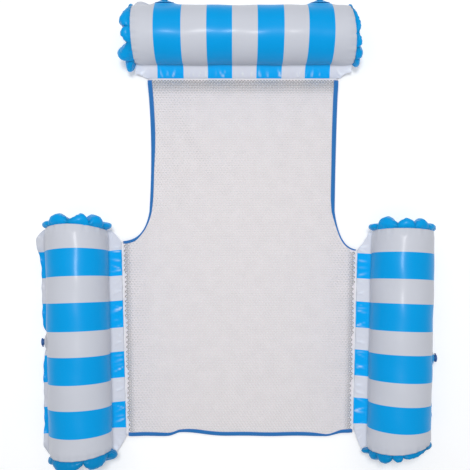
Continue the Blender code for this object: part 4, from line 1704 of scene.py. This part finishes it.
@dataclass
class Valve:
    """One mouth valve: a soft skirt on the film, a neck that pushes in, and a cap."""

    prefix: str
    tube: AirTube
    skirt_radius: float = 0.0255
    skirt_thickness: float = 0.0012
    skirt_light: float = 0.95  # how light the skirt is against the tube's film
    rim_start: float = 0.65  # share of the radius where the skirt starts to thin out
    rim_thinning: float = 0.6
    pressed_share: float = 0.12  # share of the skirt's height that is left with the neck pushed in
    tent_height: float = 0.0052
    tent_start: float = 0.0075
    tent_run: float = 0.0165
    neck_radius: float = 0.006
    bore_radius: float = 0.004
    neck_out: float = 0.0102
    neck_in: float = 0.0085
    collar_radius: float = 0.008
    collar_height: float = 0.0018
    collar_slope: float = 0.0006
    edge_radius: float = 0.0005
    cap_radius: float = 0.0098
    cap_height: float = 0.0030
    cap_dish: float = 0.0006
    grip_depth: float = 0.05
    grip_count: int = 12
    plug_radius: float = 0.0034
    plug_depth: float = 0.0025
    tip_radius: float = 0.0002  # of the flat tips on the cap's axis
    strap_width: float = 0.005
    strap_waist: float = 0.25
    strap_thickness: float = 0.001
    strap_lift: float = 0.0004
    hinge_reach: float = 0.012
    knuckle_radius: float = 0.0008
    turn_count: int = 48
    axes: Axes = field(init=False)

    def __post_init__(self) -> None:
        """Finds the valve's frame: z out of the film, x along the tube."""
        push = joint_named(f"{self.prefix}_valve_push")
        hinge = joint_named(f"{self.prefix}_cap_hinge")
        out = -np.array(push["axis"], float)
        length = self.tube.axes.y
        height = self.neck_out + FILM_GAP + self.knuckle_radius
        origin = np.array(hinge["pos_m"], float) - length * self.hinge_reach - out * height
        self.axes = Axes(origin, length, np.cross(out, length), out)

    def turned(
        self, profile: Sequence[tuple[float, float]], ring: bool, curved: bool = False
    ) -> tuple[np.ndarray, list[tuple]]:
        """A shape turned about the valve's axis, with grip notches where it is as wide as the cap.

        Args:
            profile: Its points (radius, height), from the top round the outside to the bottom.
            ring: Whether the profile closes on itself instead of ending on the axis.
            curved: Whether it follows the tube's curve, without notches.

        Returns:
            The points and the faces.
        """
        angles = np.linspace(0.0, FULL_TURN, self.turn_count, endpoint=False)
        notch = 1.0 - self.grip_depth * (0.5 + 0.5 * np.cos(angles * self.grip_count))
        rows = []
        for radius, height in profile:
            notched = radius > self.cap_radius * 0.93 and not curved
            reach = radius * (notch if notched else 1.0)
            x, y = reach * np.cos(angles), reach * np.sin(angles)
            z = np.full(len(angles), height) - (y**2 / (2 * TUBE_RADIUS) if curved else 0.0)
            rows.append(np.stack((x, y, z), axis=1))
        if ring:
            rows.append(rows[0])
        count = len(angles)
        faces = grid_faces(len(rows), count, ring=True, flip=True)
        if not ring:
            faces.append(tuple(range(count)))
            faces.append(tuple((len(rows) - 1) * count + j for j in range(count))[::-1])
        return self.axes.place(np.concatenate(rows)), faces

    def strap(
        self, start: float, end: float, height: float, lift: float
    ) -> tuple[np.ndarray, list[tuple]]:
        """A short flat strap along the tube.

        Args:
            start: Where it starts, from the valve's axis.
            end: Where it ends.
            height: How high its ends lie.
            lift: How much higher its middle is.

        Returns:
            The points and the faces.
        """
        rows = []
        for t in np.linspace(0.0, 1.0, 9):
            arch = math.sin(math.pi * t)
            x, z = start + (end - start) * t, height + lift * arch
            w, h = self.strap_width / 2 * (1 - self.strap_waist * arch), self.strap_thickness / 2
            rows.append(((x, -w, z - h), (x, w, z - h), (x, w, z + h), (x, -w, z + h)))
        points = np.array(rows, float).reshape(-1, 3)
        faces = grid_faces(len(rows), 4, ring=True)
        faces += [(3, 2, 1, 0), tuple(len(points) - 4 + j for j in range(4))]
        return self.axes.place(points), faces

    def build_skirt(self, palette: Palette) -> bpy.types.Object:
        """Makes the soft skirt, which stands up as a tent.

        Args:
            palette: The chair's finishes.

        Returns:
            The piece.
        """
        root = self.neck_radius + FILM_GAP
        radii = np.linspace(root, self.skirt_radius, 14)
        tent = self.tent_height * (1 - smooth((radii - self.tent_start) / self.tent_run))
        near_rim = smooth((radii / self.skirt_radius - self.rim_start) / (1 - self.rim_start))
        tops = self.skirt_thickness * (1 - self.rim_thinning * near_rim) + tent
        top = [(float(radius), float(height)) for radius, height in zip(radii, tops)]
        base = [(self.skirt_radius, FILM_GAP), (root, FILM_GAP)]
        points, faces = self.turned(top + base, ring=True, curved=True)
        even = np.ones(len(points))
        values = {
            "along": (points - self.tube.axes.origin) @ self.tube.axes.y,
            "across": (points - self.axes.origin) @ self.axes.y,
            "crease": even * 0,
            "shade": even * self.skirt_light,
        }
        label = f"{self.prefix}_valve_skirt"
        piece = make_piece(label, points, faces, palette.bands[self.tube.name], values)
        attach(piece, self.tube.body)
        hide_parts(f"{self.prefix}_valve_base")
        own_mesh(piece)
        return piece

    def build_neck(self, palette: Palette) -> bpy.types.Object:
        """Makes the neck with its collar and the root of the cap's strap.

        Args:
            palette: The chair's finishes.

        Returns:
            The piece.
        """
        collar = self.neck_out - self.collar_height
        profile = rounded((
            (self.bore_radius, self.neck_out), (self.collar_radius, self.neck_out),
            (self.collar_radius, collar), (self.neck_radius, collar - self.collar_slope),
            (self.neck_radius, -self.neck_in), (self.bore_radius, -self.neck_in),
        ), self.edge_radius)
        root = self.strap(
            self.collar_radius - 0.001, self.hinge_reach + self.knuckle_radius,
            self.neck_out - self.strap_thickness / 2, 0.0,
        )
        points, faces = joined(self.turned(profile, ring=True), root)
        piece = make_piece(f"{self.prefix}_valve_neck", points, faces, palette.valve)
        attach(piece, f"{self.prefix}_valve_stem")
        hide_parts(f"{self.prefix}_valve_stem")
        return piece

    def build_cap(self, palette: Palette) -> bpy.types.Object:
        """Makes the plug cap with its grip notches and strap.

        Args:
            palette: The chair's finishes.

        Returns:
            The piece.
        """
        low = self.neck_out + FILM_GAP
        high = low + self.cap_height
        dish, tip, wide = high - self.cap_dish, self.tip_radius, self.cap_radius
        profile = (
            (tip, dish), (wide * 0.60, dish), (wide * 0.70, high - 0.0001), (wide * 0.86, high),
            (wide * 0.96, high - 0.0003), (wide, high - 0.0009), (wide, low + 0.0004),
            (wide * 0.97, low), (self.plug_radius, low),
            (self.plug_radius * 0.96, low - self.plug_depth), (tip, low - self.plug_depth),
        )
        height = low + self.knuckle_radius
        strap = self.strap(wide - 0.0015, self.hinge_reach, height, self.strap_lift)
        points, faces = joined(self.turned(profile, ring=False), strap)
        piece = make_piece(f"{self.prefix}_valve_plug", points, faces, palette.valve)
        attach(piece, f"{self.prefix}_valve_cap")
        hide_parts(f"{self.prefix}_valve_cap")
        return piece

    def build(self, palette: Palette) -> list[bpy.types.Object]:
        """Makes the valve's pieces."""
        return [self.build_skirt(palette), self.build_neck(palette), self.build_cap(palette)]


@dataclass
class Studio:
    """The pale floor, the soft lights and the camera."""

    camera_place: tuple[float, float, float] = (-0.0118, -0.1594, 1.720)
    camera_tilt: float = 2.65
    lens: float = 49.48
    shift: float = 0.0577
    key_place: tuple[float, float, float] = (-0.066, 0.20, 2.65)
    key_size: float = 0.46
    key_power: float = 30.0
    fill_place: tuple[float, float, float] = (-0.2, 0.9, 2.6)
    fill_size: float = 3.6
    fill_power: float = 13.0
    sky: float = 0.43
    sky_colour: Colour = (0.97, 0.98, 1.0, 1.0)
    floor_colour: Colour = (0.93, 0.93, 0.93, 1.0)
    floor_roughness: float = 0.8
    floor_glow: float = 0.21
    cover_reach: float = 0.02  # how near a thing must be to lessen the floor's glow
    cover_depth: float = 1.5
    floor_size: float = 14.0
    floor_level: float = -0.0004

    def build_camera(self) -> None:
        """Makes the camera."""
        data = bpy.data.cameras.new("camera")
        data.lens = self.lens
        data.shift_y = self.shift
        made = bpy.data.objects.new("camera", data)
        made.location = self.camera_place
        made.rotation_euler = (math.radians(self.camera_tilt), 0.0, 0.0)
        bpy.context.scene.collection.objects.link(made)
        bpy.context.scene.camera = made

    def build_light(self, name: str, place: Sequence[float], size: float, power: float) -> None:
        """Makes one soft light that looks straight down.

        Args:
            name: Its name.
            place: Where it hangs.
            size: Its width.
            power: Its strength in watts.
        """
        data = bpy.data.lights.new(name, "AREA")
        data.shape = "DISK"
        data.size = size
        data.energy = power
        made = bpy.data.objects.new(name, data)
        made.location = place
        bpy.context.scene.collection.objects.link(made)

    def build_floor(self) -> None:
        """Makes the floor, which glows faintly but where something lies close over it."""
        made, graph, shader = new_material("pale_floor")
        tone = graph.scaled(graph.noise(graph.place(), 3.0), 0.02, 0.99)
        cover = graph.add("ShaderNodeAmbientOcclusion", samples=8)
        cover.inputs["Distance"].default_value = self.cover_reach
        open_floor = graph.math("POWER", cover.outputs["AO"], self.cover_depth)
        graph.fill(shader, {
            "Base Color": graph.toned(self.floor_colour, tone),
            "Roughness": self.floor_roughness,
            "Emission Color": graph.toned((1.0, 1.0, 1.0, 1.0), open_floor),
            "Emission Strength": self.floor_glow,
        })
        half, square = self.floor_size / 2, ((-1, -1), (1, -1), (1, 1), (-1, 1))
        corners = np.array([(x * half, y * half, self.floor_level) for x, y in square])
        floor = make_piece("studio_floor", corners, [(0, 1, 2, 3)], made)

    def build_surroundings(self) -> None:
        """Makes the soft light from all round, which looks plain white itself."""
        world = bpy.data.worlds.new("studio")
        world.use_nodes = True
        graph = Graph(world.node_tree)
        soft = world.node_tree.nodes["Background"]
        graph.fill(soft, {"Color": self.sky_colour, "Strength": self.sky})
        plain = graph.add("ShaderNodeBackground")
        plain.inputs["Color"].default_value = (1.0, 1.0, 1.0, 1.0)
        seen = graph.add("ShaderNodeLightPath").outputs["Is Camera Ray"]
        chosen = graph.add("ShaderNodeMixShader")
        graph.fill(chosen, {0: seen, 1: soft.outputs["Background"], 2: plain.outputs["Background"]})
        graph.feed(world.node_tree.nodes["World Output"].inputs["Surface"], chosen.outputs["Shader"])
        bpy.context.scene.world = world

    def build(self) -> None:
        """Makes the studio."""
        self.build_camera()
        self.build_light("key_light", self.key_place, self.key_size, self.key_power)
        self.build_light("fill_light", self.fill_place, self.fill_size, self.fill_power)
        self.build_floor()
        self.build_surroundings()
        bpy.context.scene.view_settings.view_transform = "Standard"


WHITE_FILM = (0.605, 0.625, 0.690, 1.0)
BLUE_FILM = (0.0, 0.350, 0.800, 1.0)
KNIT_WHITE = (0.88, 0.83, 0.84, 1.0)
HEM_WHITE = (0.90, 0.90, 0.93, 1.0)
TAPE_BLUE = (0.002, 0.165, 0.50, 1.0)
NAVY = (0.04, 0.13, 0.36, 1.0)

BAND_EDGES = {
    "left_arm": (-0.2290, -0.1611, -0.0958, -0.0260, 0.0363, 0.1032, 0.1650, 0.2314),
    "right_arm": (-0.2226, -0.1585, -0.1014, -0.0345, 0.0230, 0.0904, 0.1508, 0.2163),
    "headrest": (-0.2304, -0.1663, -0.1047, -0.0382, 0.0259, 0.0900, 0.1541, 0.2231),
}

UNDER_LOBES = (Lobe(236.0, 0.022), Lobe(272.0, 0.022), Lobe(308.0, 0.020))

LEFT_REAR = GatheredEnd(
    "rear", -1, 0.030,
    (
        Lobe(-14.0, 0.018, 1.3, 0.003), Lobe(40.0, 0.028, 0.9), Lobe(86.0, 0.028, 1.9),
        Lobe(128.0, 0.031, 1.1, 0.004), Lobe(163.0, 0.021, 1.1, 0.008), Lobe(208.0, 0.022), *UNDER_LOBES,
    ),
    tip=0.35, tilt=-0.003, stretch=0.005,
)
# The front panels' tone below 1 is painted shade.
LEFT_FRONT = GatheredEnd(
    "front", 1, 0.026,
    (
        Lobe(-10.0, 0.020, 1.4), Lobe(36.0, 0.030, 0.9), Lobe(107.0, 0.030, 0.9),
        Lobe(162.0, 0.024, 1.0, 0.009), Lobe(204.0, 0.022), *UNDER_LOBES,
    ),
    tip=0.35, saddle=0.005, tilt=-0.003, low=0.011, overrun=0.012, tone=0.72,
)
# Painted shade: a tone below 1 darkens this front panel.
RIGHT_FRONT = GatheredEnd(
    "front", -1, 0.036,
    (
        Lobe(-12.0, 0.011, 1.5), Lobe(40.0, 0.013, 1.9), Lobe(95.0, 0.018, 0.8),
        Lobe(115.0, 0.023), Lobe(148.0, 0.021), Lobe(174.0, 0.014, 1.0, 0.010),
        Lobe(204.0, 0.020), *UNDER_LOBES,
    ),
    tip=0.45, tilt=0.013, low=0.010, overrun=0.016, tone=0.74,
)
RIGHT_REAR = GatheredEnd(
    "rear", 1, 0.042,
    (
        Lobe(-12.0, 0.018, 1.3), Lobe(50.0, 0.026), Lobe(82.0, 0.026, 0.9),
        Lobe(115.0, 0.031, 1.2), Lobe(162.0, 0.018, 1.0, 0.006), Lobe(206.0, 0.022), *UNDER_LOBES,
    ),
    tip=0.30, saddle=0.001, stretch=0.004, curve=1.5,
)
HEAD_RIGHT = GatheredEnd(
    "right", -1, 0.021,
    (
        Lobe(-10.0, 0.009), Lobe(34.0, 0.013, 2.6), Lobe(106.0, 0.015, 1.6),
        Lobe(136.0, 0.020, 1.5), Lobe(166.0, 0.018, 0.9, 0.004), Lobe(214.0, 0.016), *UNDER_LOBES,
    ),
    tip=0.56, saddle=0.0025, tilt=0.0085, stretch=0.0025, low=0.008, curve=3.0, overrun=0.008,
)
HEAD_LEFT = GatheredEnd(
    "left", 1, 0.024,
    (
        Lobe(-12.0, 0.012, 1.0, 0.002), Lobe(28.0, 0.028, 2.6), Lobe(94.0, 0.026, 0.8),
        Lobe(126.0, 0.039, 1.9, 0.003), Lobe(172.0, 0.026, 1.0, 0.015), Lobe(212.0, 0.022), *UNDER_LOBES,
    ),
    tip=0.66, saddle=0.001, tilt=-0.001, fin_taper=0.008, curve=2.2, overrun=0.006,
)


def make_tubes() -> tuple[AirTube, AirTube, AirTube]:
    """Makes the three tubes, without their meshes.

    Returns:
        The left arm, the right arm and the headrest.
    """
    left = AirTube(
        "left_arm", "left_arm_fold", "left_arm", 0.568, 0.1035, 30.0, (LEFT_REAR, LEFT_FRONT),
        (Bulge(-0.255, 0.034, 10.0, 0.008), Bulge(0.0, 0.034, -17.0), Bulge(0.250, 0.03, 6.0)),
        mounds=(Mound(0.0, 5.0),), seed=11, fin_drop=4.0,
    )
    right = AirTube(
        "right_arm", "right_arm_fold", "right_arm", 0.542, 0.1035, 30.0, (RIGHT_FRONT, RIGHT_REAR),
        (Bulge(-0.180, 0.035, 10.0), Bulge(0.245, 0.03, 6.0)), mounds=(Mound(-0.045, -2.0),), seed=23,
    )
    head = AirTube(
        "headrest", "headrest_fold", "headrest", 0.560, 0.0920, 20.0, (HEAD_RIGHT, HEAD_LEFT),
        (Bulge(0.285, 0.055, 30.0), Bulge(-0.245, 0.03, 8.0)),
        mounds=(Mound(-0.2, 11.1, 0.0048), Mound(0.2, 11.1, 0.0048)), seed=37, radius=0.0737,
        streak_height=0.6, flange_light=0.50,
    )
    return left, right, head


def make_palette(groups: Groups) -> Palette:
    """Makes every finish of the chair.

    Args:
        groups: The shared node groups.

    Returns:
        The finishes.
    """
    bands = {
        name: FilmFinish(f"{name}_banded_film", WHITE_FILM, BLUE_FILM, edges).build(groups)
        for name, edges in BAND_EDGES.items()
    }
    return Palette(
        bands=bands,
        blue_film=FilmFinish("plain_blue_film", BLUE_FILM).build(groups),
        net=ClothFinish("white_knit", KNIT_WHITE, 0.0011, 0.0002, 0.8, 0.05).build(groups),
        hem=ClothFinish("white_hem", HEM_WHITE, 0.0010, 0.0002, 0.7, 0.1).build(groups),
        tape=ClothFinish("blue_binding", TAPE_BLUE, 0.0012, 0.0003, 0.5, 0.2, 0.0044).build(groups),
        valve=MouldedFinish("navy_vinyl", NAVY, 0.32).build(),
    )


def dress_hidden_nodes(palette: Palette) -> None:
    """Gives the CAD pieces that stay, inside the tubes, the chair's finishes.

    Args:
        palette: The chair's finishes.
    """
    for name, node in frame["nodes"].items():
        if name.endswith("valve_flap"):
            node.material_slots[0].material = palette.valve


def main() -> None:
    """Builds the chair and its studio."""
    logging.basicConfig(level=logging.INFO, format="%(message)s")
    groups = Groups.build(len(BAND_EDGES["left_arm"]))
    palette = make_palette(groups)
    left, right, head = make_tubes()
    valves = [
        Valve("left_arm", left), Valve("right_arm", right),
        Valve("headrest_left", head), Valve("headrest_right", head),
    ]
    for part in (left, right, head, Net(left, right, head), *valves):
        for piece in part.build(palette):
            LOG.info("made %s", piece.name)
    dress_hidden_nodes(palette)
    Studio().build()
    LOG.info("made the studio")


if __name__ == "__main__":
    main()
